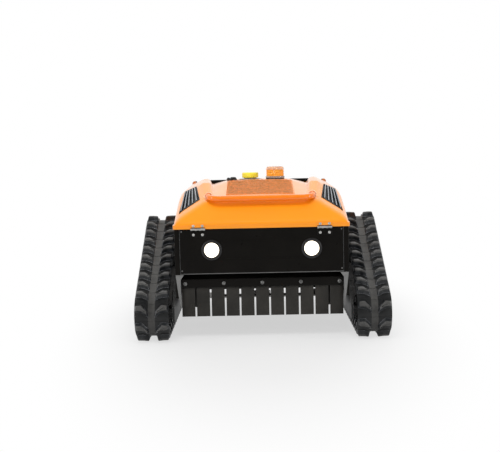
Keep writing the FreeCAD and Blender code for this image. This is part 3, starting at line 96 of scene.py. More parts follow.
def object_noise(tree, scale, detail=4.0, roughness=0.6):
    """Noise that is fixed to the piece."""
    place = put(tree, "ShaderNodeTexCoord").outputs["Object"]
    return put(tree, "ShaderNodeTexNoise", Vector=place, Scale=scale, Detail=detail, Roughness=roughness)


def mixed_colour(tree, share, first, second):
    """The first colour where the share is 0, and the second where it is 1."""
    return put(tree, "ShaderNodeMix", {"data_type": "RGBA"}, Factor=share, n6=first, n7=second).outputs[2]


def fine_grain_group():
    """Bumps of one size all over: moulded texture, powder coat or cast skin."""
    tree, start, end = new_group("fine_grain", [("Scale", "value"), ("Depth", "value")], [("Normal", "vector")])
    noise = object_noise(tree, start.outputs["Scale"], 3.0)
    bump = put(tree, "ShaderNodeBump", Height=noise.outputs["Fac"], Distance=start.outputs["Depth"],
               Strength=1.0)
    tree.links.new(bump.outputs["Normal"], end.inputs["Normal"])
    return tree


def uneven_tone_group():
    """Slow lighter and darker drift of a colour."""
    tree, start, end = new_group(
        "uneven_tone", [("Color", "colour"), ("Scale", "value"), ("Amount", "value")], [("Color", "colour")])
    noise = object_noise(tree, start.outputs["Scale"], 5.0)
    low = put(tree, "ShaderNodeMath", {"operation": "SUBTRACT"}, n0=1.0, n1=start.outputs["Amount"])
    high = put(tree, "ShaderNodeMath", {"operation": "ADD"}, n0=1.0, n1=start.outputs["Amount"])
    share = put(tree, "ShaderNodeMapRange", Value=noise.outputs["Fac"], From_Min=0.3, From_Max=0.7,
                To_Min=low.outputs[0], To_Max=high.outputs[0])
    tone = put(tree, "ShaderNodeVectorMath", {"operation": "SCALE"}, n0=start.outputs["Color"],
               Scale=share.outputs["Result"])
    tree.links.new(tone.outputs[0], end.inputs["Color"])
    return tree


def rubbed_edges_and_highlights_group():
    """Paint or skin worn off along corners in broken patches, and on the track rubber pale corners that are
    painted highlights along the lug edges.
    """
    tree, start, end = new_group(
        "rubbed_edges_and_highlights", [("Color", "colour"), ("Rub Color", "colour"), ("Amount", "value"), ("Width", "value")],
        [("Color", "colour"), ("Mask", "value")])
    soft = put(tree, "ShaderNodeBevel", {"samples": 4}, Radius=start.outputs["Width"])
    flat = put(tree, "ShaderNodeNewGeometry")
    likeness = put(tree, "ShaderNodeVectorMath", {"operation": "DOT_PRODUCT"}, n0=soft.outputs["Normal"],
                   n1=flat.outputs["Normal"])
    corner = put(tree, "ShaderNodeMapRange", Value=likeness.outputs["Value"], From_Min=0.995, From_Max=0.88,
                 To_Min=0.0, To_Max=1.0)
    patches = put(tree, "ShaderNodeMapRange", Value=object_noise(tree, 55.0, 6.0).outputs["Fac"],
                  From_Min=0.35, From_Max=0.62, To_Min=0.0, To_Max=1.0)
    mask = put(tree, "ShaderNodeMath", {"operation": "MULTIPLY"}, n0=corner.outputs["Result"],
               n1=patches.outputs["Result"])
    mask = put(tree, "ShaderNodeMath", {"operation": "MULTIPLY", "use_clamp": True}, n0=mask.outputs[0],
               n1=start.outputs["Amount"])
    mixed = mixed_colour(tree, mask.outputs[0], start.outputs["Color"], start.outputs["Rub Color"])
    tree.links.new(mixed, end.inputs["Color"])
    tree.links.new(mask.outputs[0], end.inputs["Mask"])
    return tree


DUST_COLOUR = (0.42, 0.40, 0.36)


def settled_dust_group():
    """Pale dust that lies on what faces up, and thickens towards the ground."""
    tree, start, end = new_group(
        "settled_dust", [("Color", "colour"), ("Amount", "value"), ("Low", "value")],
        [("Color", "colour"), ("Mask", "value")])
    normal = put(tree, "ShaderNodeSeparateXYZ", Vector=put(tree, "ShaderNodeNewGeometry").outputs["Normal"])
    up = put(tree, "ShaderNodeMapRange", Value=normal.outputs["Z"], From_Min=0.1, From_Max=1.0, To_Min=0.15,
             To_Max=1.0)
    place = put(tree, "ShaderNodeSeparateXYZ", Vector=put(tree, "ShaderNodeTexCoord").outputs["Object"])
    low = put(tree, "ShaderNodeMapRange", Value=place.outputs["Z"], From_Min=0.0, From_Max=0.3,
              To_Min=start.outputs["Low"], To_Max=0.0)
    where = put(tree, "ShaderNodeMath", {"operation": "ADD"}, n0=up.outputs["Result"], n1=low.outputs["Result"])
    clouds = put(tree, "ShaderNodeMapRange", Value=object_noise(tree, 28.0, 8.0, 0.7).outputs["Fac"],
                 From_Min=0.36, From_Max=0.72, To_Min=0.1, To_Max=1.0)
    mask = put(tree, "ShaderNodeMath", {"operation": "MULTIPLY"}, n0=where.outputs[0],
               n1=clouds.outputs["Result"])
    mask = put(tree, "ShaderNodeMath", {"operation": "MULTIPLY", "use_clamp": True}, n0=mask.outputs[0],
               n1=start.outputs["Amount"])
    mixed = mixed_colour(tree, mask.outputs[0], start.outputs["Color"], DUST_COLOUR)
    tree.links.new(mixed, end.inputs["Color"])
    tree.links.new(mask.outputs[0], end.inputs["Mask"])
    return tree


def patchy_gloss_group():
    """Roughness that drifts round its middle value and rises under dust."""
    tree, start, end = new_group(
        "patchy_gloss", [("Middle", "value"), ("Spread", "value"), ("Scale", "value"), ("Dust", "value")],
        [("Roughness", "value")])
    noise = object_noise(tree, start.outputs["Scale"], 6.0)
    around = put(tree, "ShaderNodeMath", {"operation": "SUBTRACT"}, n0=noise.outputs["Fac"], n1=0.5)
    around = put(tree, "ShaderNodeMath", {"operation": "MULTIPLY_ADD"}, n0=around.outputs[0],
                 n1=start.outputs["Spread"], n2=start.outputs["Middle"])
    dusty = put(tree, "ShaderNodeMath", {"operation": "MULTIPLY_ADD", "use_clamp": True},
                n0=start.outputs["Dust"], n1=0.4, n2=around.outputs[0])
    tree.links.new(dusty.outputs[0], end.inputs["Roughness"])
    return tree


GRAIN = fine_grain_group()
TONE = uneven_tone_group()
RUB_AND_HIGHLIGHT = rubbed_edges_and_highlights_group()
DUST = settled_dust_group()
GLOSS = patchy_gloss_group()


def finish(name, colour, gloss, grain, tone=(9.0, 0.06), rub=None, dust=0.0, low_dust=0.0,
           metallic=0.0, **shine):
    """A material: colour drift, rubbed corners (painted edge highlights on the track rubber), dust, patchy
    gloss and fine grain.

    gloss is the middle roughness and its spread, grain and tone are a scale and a depth or amount,
    and rub is a colour, an amount and a width: worn corners, which on the track rubber are painted highlights
    along the lug edges.
    """
    material = bpy.data.materials.new(name)
    material.use_nodes = True
    tree = material.node_tree
    shader = tree.nodes["Principled BSDF"]
    toned = put(tree, "ShaderNodeGroup", {"node_tree": TONE}, Color=colour, Scale=tone[0], Amount=tone[1])
    shade = toned.outputs["Color"]
    if rub:
        edge_toned = put(tree, "ShaderNodeGroup", {"node_tree": RUB_AND_HIGHLIGHT}, Color=shade, Rub_Color=rub[0], Amount=rub[1],
                   Width=rub[2])
        shade = edge_toned.outputs["Color"]
    dusty = put(tree, "ShaderNodeGroup", {"node_tree": DUST}, Color=shade, Amount=dust, Low=low_dust)
    patchy = put(tree, "ShaderNodeGroup", {"node_tree": GLOSS}, Middle=gloss[0], Spread=gloss[1], Scale=40.0,
                 Dust=dusty.outputs["Mask"])
    bumps = put(tree, "ShaderNodeGroup", {"node_tree": GRAIN}, Scale=grain[0], Depth=grain[1])
    tree.links.new(dusty.outputs["Color"], shader.inputs["Base Color"])
    tree.links.new(patchy.outputs["Roughness"], shader.inputs["Roughness"])
    tree.links.new(bumps.outputs["Normal"], shader.inputs["Normal"])
    shader.inputs["Metallic"].default_value = metallic
    for key, value in shine.items():
        shader.inputs[key.replace("_", " ")].default_value = value
    return material


BARE_STEEL = (0.45, 0.45, 0.44)
hood_paint = finish("orange_hood_paint", (1.0, 0.32, 0.006), (0.30, 0.10), (350, 0.00010), (5.0, 0.03),
                    dust=0.015, Coat_Weight=0.75, Coat_Roughness=0.12)
handle_paint = finish("orange_handle_paint", (0.98, 0.215, 0.003), (0.24, 0.08), (500, 0.00005), (14.0, 0.05),
                      dust=0.01, Coat_Weight=0.8, Coat_Roughness=0.06)
mesh_paint = finish("orange_brown_mesh_paint", (0.92, 0.36, 0.10), (0.42, 0.2), (1200, 0.0001), (60.0, 0.25),
                    rub=(BARE_STEEL, 0.25, 0.0006), dust=0.10, Specular_IOR_Level=0.2)
body_paint = finish("black_powder_coat", (0.0045, 0.0038, 0.0030), (0.30, 0.16), (1500, 0.00006), (12.0, 0.25),
                    rub=((0.08, 0.08, 0.08), 0.6, 0.0012), dust=0.012, low_dust=0.08, Specular_IOR_Level=0.12)
corner_paint = finish("grey_corner_paint", (0.19, 0.19, 0.187), (0.42, 0.16), (1300, 0.00008), (14.0, 0.15),
                      rub=((0.10, 0.10, 0.10), 0.5, 0.0012), dust=0.05, low_dust=0.2)
# grey for the bottom hem bead: a painted highlight, the floor reflected along the panel's lower edge
hem_highlight_paint = finish("hem_painted_highlight", (0.11, 0.11, 0.108), (0.45, 0.16), (1300, 0.00008), (14.0, 0.2), dust=0.05)
frame_paint = finish("grey_black_frame_paint", (0.014, 0.0145, 0.015), (0.45, 0.2), (1300, 0.00010),
                     (16.0, 0.3), rub=((0.25, 0.25, 0.25), 0.8, 0.0015), dust=0.06, low_dust=0.2)
deck_paint = finish("black_deck_paint", (0.016, 0.016, 0.016), (0.5, 0.3), (700, 0.0002), (20.0, 0.4),
                    rub=((0.22, 0.19, 0.16), 0.9, 0.002), dust=0.35, low_dust=0.6)
# the pale rubbed corners of the track and lug rubber are painted highlights along the lug edges
track_rubber = finish("track_rubber", (0.010, 0.0115, 0.0135), (0.36, 0.22), (900, 0.00018), (18.0, 0.35),
                      rub=((0.24, 0.25, 0.27), 1.0, 0.0026), dust=0.03, low_dust=0.05)
# lighter copy of the track rubber for the lug tops: painted light, while the lug walls keep the dark rubber
lug_top_painted_light = finish("lug_top_rubber_painted_light", (0.058, 0.057, 0.055), (0.38, 0.22), (900, 0.00018), (18.0, 0.35),
                    rub=((0.24, 0.25, 0.27), 1.0, 0.0026), dust=0.06, low_dust=0.05)
# darkest copy of the rubber for the carcass between the lugs: painted shade in the pockets
carcass_rubber_painted_shade = finish("carcass_rubber_painted_shade", (0.005, 0.0055, 0.006), (0.50, 0.2), (900, 0.00018), (18.0, 0.35),
                     dust=0.03)
# the flat middle strip of the carcass, lighter than the carcass beside it
strip_rubber = finish("belt_middle_strip_rubber", (0.040, 0.039, 0.037), (0.46, 0.2), (900, 0.00018), (18.0, 0.35),
                     dust=0.08)
flap_rubber = finish("flap_rubber", (0.024, 0.022, 0.019), (0.55, 0.2), (500, 0.00015), (10.0, 0.35),
                     rub=((0.07, 0.07, 0.065), 0.7, 0.0010), dust=0.06, low_dust=0.12, Specular_IOR_Level=0.3)
black_plastic = finish("black_moulded_plastic", (0.012, 0.012, 0.013), (0.38, 0.12), (1800, 0.00007),
                       (20.0, 0.2), dust=0.06)
# grey for the upward faces of the black slats: a painted highlight
slat_top_highlight = finish("slat_tops_painted_highlight", (0.30, 0.32, 0.34), (0.36, 0.12), (1600, 0.00005), (30.0, 0.12),
                      dust=0.1)
wheel_plastic = finish("wheel_plastic", (0.028, 0.028, 0.030), (0.46, 0.2), (900, 0.00012), (20.0, 0.25),
                       rub=((0.12, 0.12, 0.12), 0.7, 0.0016), dust=0.25, low_dust=0.5)
dull_zinc = finish("dull_zinc_bolts", (0.24, 0.24, 0.235), (0.40, 0.2), (1400, 0.00006), (60.0, 0.2),
                   dust=0.06, metallic=0.8)
hinge_zinc = finish("bright_zinc_hinges", (0.62, 0.62, 0.60), (0.32, 0.2), (1600, 0.00005), (60.0, 0.15),
                    dust=0.05, metallic=0.6)
zinc_steel = finish("zinc_plated_steel", (0.56, 0.56, 0.54), (0.30, 0.2), (1600, 0.00005), (60.0, 0.12),
                    dust=0.08, metallic=1.0)
bare_steel = finish("ground_steel", (0.42, 0.41, 0.40), (0.32, 0.25), (900, 0.00006), (45.0, 0.2),
                    rub=((0.75, 0.75, 0.74), 1.0, 0.002), dust=0.1, metallic=1.0)
cast_alloy = finish("cast_alloy", (0.50, 0.50, 0.49), (0.52, 0.15), (700, 0.00025), (30.0, 0.12),
                    dust=0.15, metallic=0.9)
burnt_steel = finish("burnt_exhaust_steel", (0.16, 0.12, 0.09), (0.62, 0.2), (600, 0.00015), (26.0, 0.4),
                     dust=0.1, metallic=0.7)
engine_plastic = finish("dark_engine_cover", (0.035, 0.036, 0.040), (0.42, 0.15), (1400, 0.00008), (16.0, 0.2),
                        rub=((0.12, 0.12, 0.12), 0.5, 0.0012), dust=0.15)
tank_plastic = finish("fuel_tank_plastic", (0.62, 0.60, 0.54), (0.5, 0.1), (500, 0.00012), (12.0, 0.08),
                      dust=0.15, Subsurface_Weight=0.15)
battery_case = finish("battery_case", (0.045, 0.047, 0.055), (0.45, 0.12), (900, 0.00008), (18.0, 0.15),
                      dust=0.1)
box_plastic = finish("control_box_plastic", (0.33, 0.34, 0.35), (0.45, 0.1), (1500, 0.00006), (14.0, 0.08),
                     dust=0.1)
cap_plastic = finish("yellow_cap_plastic", (1.0, 0.88, 0.065), (0.34, 0.1), (1300, 0.00006), (30.0, 0.06),
                     dust=0.03, Subsurface_Weight=0.08)
stop_plastic = finish("red_button_plastic", (0.62, 0.012, 0.010), (0.28, 0.1), (1500, 0.00004), (30.0, 0.06),
                      dust=0.03, Coat_Weight=0.4, Coat_Roughness=0.1)
# pale orange for the handle's ferrules: a painted highlight where the handle ends enter the hood
ferrule_highlight_paint = finish("ferrule_painted_highlight", (0.95, 0.62, 0.40), (0.3, 0.1), (900, 0.00004), (30.0, 0.06), dust=0.02)


def glass_like(name, colour, roughness, see_through, glow=0.0):
    """Tinted moulded plastic or glass, with small flaws in its gloss."""
    material = finish(name, colour, (roughness, 0.08), (600, 0.00005), (25.0, 0.08), dust=0.02)
    shader = material.node_tree.nodes["Principled BSDF"]
    shader.inputs["Transmission Weight"].default_value = see_through
    shader.inputs["IOR"].default_value = 1.49
    shader.inputs["Emission Color"].default_value = (*colour, 1)
    shader.inputs["Emission Strength"].default_value = glow
    return material


amber_lens = glass_like("amber_lens", (0.98, 0.50, 0.08), 0.12, 0.5, 0.12)
marker_amber = glass_like("marker_amber_lens", (0.70, 0.19, 0.03), 0.14, 0.30)
clear_lens = glass_like("clear_lens", (0.95, 0.95, 0.95), 0.06, 0.75)


def lit_lamp(name, colour, strength):
    """The glow of a lit lamp, brightest in its middle cells."""
    material = bpy.data.materials.new(name)
    material.use_nodes = True
    tree = material.node_tree
    shader = tree.nodes["Principled BSDF"]
    cells = put(tree, "ShaderNodeTexVoronoi", {"feature": "F1"},
                Vector=put(tree, "ShaderNodeTexCoord").outputs["Object"], Scale=240.0)
    tint = mixed_colour(tree, cells.outputs["Distance"], (1.0, 0.97, 0.90), colour)
    tree.links.new(tint, shader.inputs["Emission Color"])
    tree.links.new(tint, shader.inputs["Base Color"])
    shader.inputs["Emission Strength"].default_value = strength
    shader.inputs["Roughness"].default_value = 0.2
    return material


lamp_glow = lit_lamp("lamp_glow", (1.0, 0.80, 0.52), 3.2)


# ---- making pieces ----

def piece(name, mesh, material, body, stands_for=(), bevel=0.0, smooth=35.0):
    """Turns a mesh into a finished piece that rides on a body."""
    if isinstance(mesh, bmesh.types.BMesh):
        bmesh.ops.recalc_face_normals(mesh, faces=mesh.faces)
        data = bpy.data.meshes.new(name)
        mesh.to_mesh(data)
        mesh.free()
        mesh = data
    mesh.name = name
    thing = bpy.data.objects.new(name, mesh)
    bpy.context.scene.collection.objects.link(thing)
    for entry in material if isinstance(material, (list, tuple)) else [material]:
        mesh.materials.append(entry)
    mesh.shade_smooth()
    mesh.set_sharp_from_angle(angle=math.radians(smooth))
    if bevel:
        soften(thing, bevel)
    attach(thing, body)
    if stands_for:
        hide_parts(*stands_for)
    return thing


def soften(thing, width, segments=2):
    """Rounds the corners of a piece or a CAD node."""
    weld = thing.modifiers.new("weld", "WELD")
    weld.merge_threshold = 0.00002
    edge = thing.modifiers.new("soft_corners", "BEVEL")
    edge.width = width
    edge.segments = segments
    edge.limit_method = "ANGLE"
    edge.angle_limit = math.radians(32)
    edge.harden_normals = True


def keep(node, material, bevel=0.0):
    """Gives a CAD node its finish and softened corners."""
    thing = nodes[node]
    for place in thing.material_slots:
        place.material = material
    if bevel:
        soften(thing, bevel)


def loft(mesh, rings, closed=True, caps=True, material=0):
    """Skins rings of points that each hold the same number of points."""
    rows = [[mesh.verts.new(point) for point in ring] for ring in rings]
    count = len(rows[0])
    last = count if closed else count - 1
    for row, after in zip(rows, rows[1:]):
        for index in range(last):
            other = (index + 1) % count
            face = mesh.faces.new((row[index], row[other], after[other], after[index]))
            face.material_index = material
    if caps:
        for row in (rows[0][::-1], rows[-1]):
            mesh.faces.new(row).material_index = material
    return rows


TURNS = {"x": ("y", "z"), "y": ("x", "z"), "z": ("x", "y")}


def lathe(mesh, axis, centre, profile, segments=32, material=0, ribs=0, rib_depth=0.0, caps=True):
    """Turns (along, radius) points round an axis; ribs make the radius ripple."""
    keys = "xyz"
    first, second = (keys.index(k) for k in TURNS[axis])
    main = keys.index(axis)
    rings = []
    for along, radius in profile:
        ring = []
        for step in range(segments):
            angle = 2 * math.pi * step / segments
            reach = radius
            if ribs:
                reach -= rib_depth * (0.5 + 0.5 * math.cos(ribs * angle))
            point = list(centre)
            point[main] += along
            point[first] += reach * math.cos(angle)
            point[second] += reach * math.sin(angle)
            ring.append(point)
        rings.append(ring)
    return loft(mesh, rings, caps=caps, material=material)


def block(mesh, low, high, material=0):
    """A plain box, whose corners its piece's bevel softens."""
    ring = [(low[0], low[1]), (high[0], low[1]), (high[0], high[1]), (low[0], high[1])]
    loft(mesh, [[(x, y, z) for x, y in ring] for z in (low[2], high[2])], material=material)


def ring_of(mesh, axis, centre, radius, thickness, segments=40, material=0):
    """A round bead, such as a gasket or ferrule."""
    profile = []
    for step in range(9):
        angle = 2 * math.pi * step / 8
        profile.append((thickness * math.sin(angle), radius + thickness * math.cos(angle)))
    lathe(mesh, axis, centre, profile, segments, material, caps=False)


SCREW_SHAPE = (  # shares of the height and of the radius
    (0, 1.25), (0.18, 1.25), (0.2, 1.0), (0.6, 0.96), (0.88, 0.72), (1, 0.45), (0.6, 0.38), (0.55, 0.02))


def screw(mesh, axis, centre, out, radius, height, material=0):
    """A domed screw head with a washer and a socket; out is +1 or -1 along the axis."""
    profile = [(out * height * up, radius * wide) for up, wide in SCREW_SHAPE]
    lathe(mesh, axis, centre, profile, 16, material)


def tube_along(mesh, path, radius, segments=20, material=0):
    """A round tube along points, with its section square to the path."""
    points = [Vector(point) for point in path]
    side = None
    rings = []
    for index, point in enumerate(points):
        before, after = points[max(index - 1, 0)], points[min(index + 1, len(points) - 1)]
        heading = (after - before).normalized()
        if side is None:
            side = heading.orthogonal().normalized()
        side = (side - heading * side.dot(heading)).normalized()
        other = heading.cross(side)
        ring = []
        for step in range(segments):
            angle = 2 * math.pi * step / segments
            ring.append(point + side * (radius * math.cos(angle)) + other * (radius * math.sin(angle)))
        rings.append(ring)
    loft(mesh, rings, material=material)


def bent_path(span, bend, leg, place, leg_way):
    """The middle line of a bar with two bent legs, as points."""
    bend_steps, straight_steps = 10, 12
    flat = [(-span, leg)]
    for step in range(bend_steps + 1):
        angle = math.pi + 0.5 * math.pi * step / bend_steps
        flat.append((bend - span + bend * math.cos(angle), bend + bend * math.sin(angle)))
    for step in range(1, straight_steps):
        flat.append((bend - span + (2 * span - 2 * bend) * step / straight_steps, 0.0))
    flat += [(-x, along) for x, along in reversed(flat[:bend_steps + 2])]
    leg_way = Vector(leg_way)
    return [Vector(place) + Vector((x, 0, 0)) + leg_way * along for x, along in flat]


def drill(axis, centre, start, end, radius, segments):
    """A round cutter that reaches from start to end along an axis."""
    mesh = bmesh.new()
    lathe(mesh, axis, centre, [(start, radius), (end, radius)], segments)
    return mesh


# ---- hood ----

HOOD_HALF, HOOD_REAR, HOOD_LOW = 0.313, 0.380, 0.3945
LIP_TOP, CREST_Y, CREST_TOP = 0.414, -0.325, 0.503
ROOF_FRONT, ROOF_REAR, TAIL_TOP = -0.060, 0.300, 0.454
ROOF_CLIMB = (ROOF_TOP - CREST_TOP) / (ROOF_FRONT - CREST_Y)
SIDE_LEAN, HOOD_CORNER, HOOD_GAUGE = 0.013, 0.008, 0.003
SAG_START, SAG_SLOPE = -0.05, 0.028
CROWN = 0.15
BOW_START, BOW_SLOPE, BOW_END, BOW_FADE = 0.118, 0.21, 0.228, 0.025
BOW_LENGTH, BOW_LEAST = 0.25, 0.15
# along the machine, and the ridge's height or the distance of its edges from the middle
RIDGE_LINE = ((-0.400, 0.372), (-0.335, 0.462), (-0.305, 0.499), (-0.150, 0.545), (0.000, 0.552),
              (0.150, 0.546), (0.300, 0.535), (0.380, 0.430))
RIDGE_INNER = ((-0.310, 0.173), (0.000, 0.196), (0.300, 0.206))
RIDGE_OUTER = ((-0.310, 0.204), (-0.150, 0.222), (0.300, 0.232))
RIDGE_SIDE, RIDGE_INNER_SLOPE, RIDGE_OUTER_SLOPE = 0.034, 3, 2
SHOULDER_START, SHOULDER_END = 0.416, -0.150
SHOULDER_INWARD, SHOULDER_BACKWARD = 0.442, 0.347


def lesser(a, b, soft):
    """The smaller of two values, with a rounded change-over."""
    near = np.maximum(soft - np.abs(a - b), 0) / soft
    return np.minimum(a, b) - near * near * soft / 4


def greater(a, b, soft):
    """The larger of two values, with a rounded change-over."""
    return -lesser(-a, -b, soft)


def tilted(z, level, *slopes):
    """Distance over a plane whose height is known, given its slopes."""
    return (z - level) / math.sqrt(1 + sum(slope * slope for slope in slopes))


def shoulder_level(x, y):
    """Height of the sloped shoulder, which stops rising where the roof is level."""
    along = lesser(y, np.full_like(y, SHOULDER_END), 0.05)
    inward = SHOULDER_INWARD * (HOOD_HALF - np.abs(x))
    return SHOULDER_START + inward + SHOULDER_BACKWARD * (along + BODY_REACH)


def sag(y):
    """The roof sinks a little towards the rear."""
    return SAG_SLOPE * np.maximum(y - SAG_START, 0.0)


def roof_bow(x, y):
    """How far the roof lies below its middle line, towards the ridges."""
    share = np.clip((y - CREST_Y) / BOW_LENGTH, BOW_LEAST, 1.0)
    beside = greater(np.abs(x) - BOW_START, np.zeros_like(x), 0.02)
    bow = BOW_SLOPE * share * beside + CROWN * x * x + sag(y)
    return bow * np.clip((BOW_END - np.abs(x)) / BOW_FADE, 0.0, 1.0)


def line_at(line, y):
    """The value of a line of (along, value) points at each y."""
    return np.interp(y, *zip(*line))


def hood_distance(x, y, z):
    """How far a point is outside the hood's skin."""
    bow = roof_bow(x, y)
    rise = (CREST_TOP - LIP_TOP) / (CREST_Y + BODY_REACH)
    fall = (ROOF_TOP - TAIL_TOP) / (HOOD_REAR - ROOF_REAR)
    lean = (ROOF_TOP - LIP_TOP) / SIDE_LEAN
    nose = tilted(z, LIP_TOP + rise * (y + BODY_REACH), rise)
    roof = tilted(z, CREST_TOP - bow + ROOF_CLIMB * (y - CREST_Y), ROOF_CLIMB)
    body = greater(nose, roof, 0.007)
    body = greater(body, z - ROOF_TOP + bow, 0.006)
    body = greater(body, tilted(z, ROOF_TOP - bow - fall * (y - ROOF_REAR), fall), 0.02)
    shoulder = tilted(z, shoulder_level(x, y), SHOULDER_INWARD, SHOULDER_BACKWARD)
    body = greater(body, shoulder, 0.009)
    body = greater(body, tilted(z, LIP_TOP + lean * (HOOD_HALF - np.abs(x)), lean), 0.028)
    line = line_at(RIDGE_LINE, y)
    foot = line - RIDGE_SIDE
    inward = RIDGE_INNER_SLOPE * (np.abs(x) - line_at(RIDGE_INNER, y))
    outward = RIDGE_OUTER_SLOPE * (line_at(RIDGE_OUTER, y) - np.abs(x))
    inner = tilted(z, foot + inward + RIDGE_SIDE, RIDGE_INNER_SLOPE)
    outer = tilted(z, foot + outward + RIDGE_SIDE, RIDGE_OUTER_SLOPE)
    ridge = greater(greater(inner, outer, 0.010), z - line, 0.012)
    body = lesser(body, ridge, 0.008)
    beside = np.abs(x) - (HOOD_HALF - HOOD_CORNER)
    middle = (HOOD_REAR - BODY_REACH) / 2
    ahead = np.abs(y - middle) - ((HOOD_REAR + BODY_REACH) / 2 - HOOD_CORNER)
    past = np.hypot(np.maximum(beside, 0), np.maximum(ahead, 0))
    wall = past + np.minimum(np.maximum(beside, ahead), 0) - HOOD_CORNER
    return greater(body, wall, 0.006)


HOOD_ABOVE, HALVINGS = 0.62, 34


def hood_skin(inset, x_lines, y_lines):
    """Points of the hood's skin, or of its inside at an inset, on a grid of lines."""
    half = HOOD_HALF - inset
    front, rear = inset - BODY_REACH, HOOD_REAR - inset
    x = np.array(x_lines) * half / HOOD_HALF
    y = front + (np.array(y_lines) + BODY_REACH) * (rear - front) / (HOOD_REAR + BODY_REACH)
    x, y = np.meshgrid(x, y)
    corner = HOOD_CORNER
    beside = np.maximum(np.abs(x) - (half - corner), 0)
    middle = (front + rear) / 2
    ahead = np.maximum(np.abs(y - middle) - ((rear - front) / 2 - corner), 0)
    far = np.maximum(beside, ahead)
    shrink = np.where(far > 0, far / np.maximum(np.hypot(beside, ahead), 1e-9), 1.0)
    both_in = (beside > 0) & (ahead > 0)
    x = np.where(both_in, np.sign(x) * (half - corner + beside * shrink), x)
    y = np.where(both_in, middle + np.sign(y - middle) * ((rear - front) / 2 - corner + ahead * shrink), y)
    low = np.full_like(x, HOOD_LOW)
    high = np.full_like(x, HOOD_ABOVE)
    for _ in range(HALVINGS):
        mid = (low + high) / 2
        outside = hood_distance(x, y, mid) > -inset
        high = np.where(outside, mid, high)
        low = np.where(outside, low, mid)
    edge = np.zeros_like(x, bool)
    edge[[0, -1], :] = True
    edge[:, [0, -1]] = True
    z = np.where(edge, HOOD_LOW, np.maximum(low, LIP_TOP - 0.005 - inset))
    return np.stack([x, y, z], axis=-1)


def grid_lines(low, high, step, edges):
    """Lines from low to high, crowded towards both ends."""
    start, end = low + edges[-1], high - edges[-1]
    count = round((end - start) / step)
    middle = [start + (end - start) * number / count for number in range(count + 1)]
    return [low + edge for edge in edges[:-1]] + middle + [high - edge for edge in reversed(edges[:-1])]


def hood_mesh():
    """The hood as a closed shell 3 mm thick."""
    edges = (0, 0.00001, 0.0004, 0.0010, 0.0018, 0.0028, 0.0040, 0.0056, 0.0076, 0.0100, 0.0130, 0.0170,
             0.0220)
    x_lines = grid_lines(-HOOD_HALF, HOOD_HALF, 0.0045, edges)
    y_lines = grid_lines(-BODY_REACH, HOOD_REAR, 0.0050, edges)
    wide, deep = len(x_lines), len(y_lines)
    outer = hood_skin(0.0, x_lines, y_lines).reshape(-1, 3)
    inner = hood_skin(HOOD_GAUGE, x_lines, y_lines).reshape(-1, 3)
    faces = []
    for row in range(deep - 1):
        for column in range(wide - 1):
            a = row * wide + column
            quad = (a, a + 1, a + wide + 1, a + wide)
            faces.append(quad)
            faces.append(tuple(len(outer) + index for index in reversed(quad)))
    rim = list(range(wide)) + [row * wide + wide - 1 for row in range(1, deep)]
    rim += [(deep - 1) * wide + column for column in range(wide - 2, -1, -1)]
    rim += [row * wide for row in range(deep - 2, 0, -1)]
    for a, b in zip(rim, rim[1:] + rim[:1]):
        faces.append((b, a, len(outer) + a, len(outer) + b))
    mesh = bpy.data.meshes.new("hood_skin")
    mesh.from_pydata(np.vstack([outer, inner]).tolist(), [], faces)
    shell = bmesh.new()
    shell.from_mesh(mesh)
    bmesh.ops.recalc_face_normals(shell, faces=shell.faces)
    shell.to_mesh(mesh)
    shell.free()
    return mesh


def cut_away(mesh, cutters):
    """The mesh with each cutter's space taken out of it."""
    thing = bpy.data.objects.new("cut_blank", mesh)
    bpy.context.scene.collection.objects.link(thing)
    helpers = []
    for cutter in cutters:
        bmesh.ops.recalc_face_normals(cutter, faces=cutter.faces)
        data = bpy.data.meshes.new("cutter")
        cutter.to_mesh(data)
        cutter.free()
        helper = bpy.data.objects.new("cutter", data)
        bpy.context.scene.collection.objects.link(helper)
        step = thing.modifiers.new("cut", "BOOLEAN")
        step.object = helper
        step.solver = "EXACT"
        helpers.append(helper)
    bpy.context.view_layer.update()
    result = bpy.data.meshes.new_from_object(thing.evaluated_get(bpy.context.evaluated_depsgraph_get()))
    for entry in helpers + [thing]:
        bpy.data.objects.remove(entry)
    result.materials.clear()
    return result


VENT_CORNERS = ((0.940, 0.845), (0.703, 0.750), (0.765, 0.375), (0.902, 0.375))


def vent_plan(side, inset=0.0):
    """Plan corners of a side vent: front outer, front inner, rear inner, rear outer."""
    corners = [Vector((side * a * HOOD_HALF, -b * BODY_REACH)) for a, b in VENT_CORNERS]
    middle = sum(corners, Vector((0, 0))) / 4
    return [corner + (middle - corner).normalized() * inset for corner in corners]


def shoulder_z(x, y):
    """The shoulder's height at one point."""
    return float(shoulder_level(np.array([abs(x)]), np.array([y]))[0])


BAR_Y, BAR_Z = CREST_Y - 0.036, CREST_TOP - 0.004
HANDLE_SPAN, HANDLE_BEND, HANDLE_LEG, HANDLE_RADIUS = 0.187, 0.040, 0.058, 0.011
HANDLE_WAY = (0, 0.985, 0.173)
SOCKET_RISE, SOCKET_RADIUS, SOCKET_REACH = 0.0060, 0.0126, (0.020, 0.064)
MOUTH_LOW, MOUTH_HIGH = (-0.119, -0.286, 0.44), (0.119, -0.070, 0.60)
VENT_CUT, VENT_CUT_INSET = (0.43, 0.60), 0.003
CAP_PLACE, FILLER_CUT, FILLER_RADIUS = (-0.037, 0.100), (0.50, 0.60), 0.046


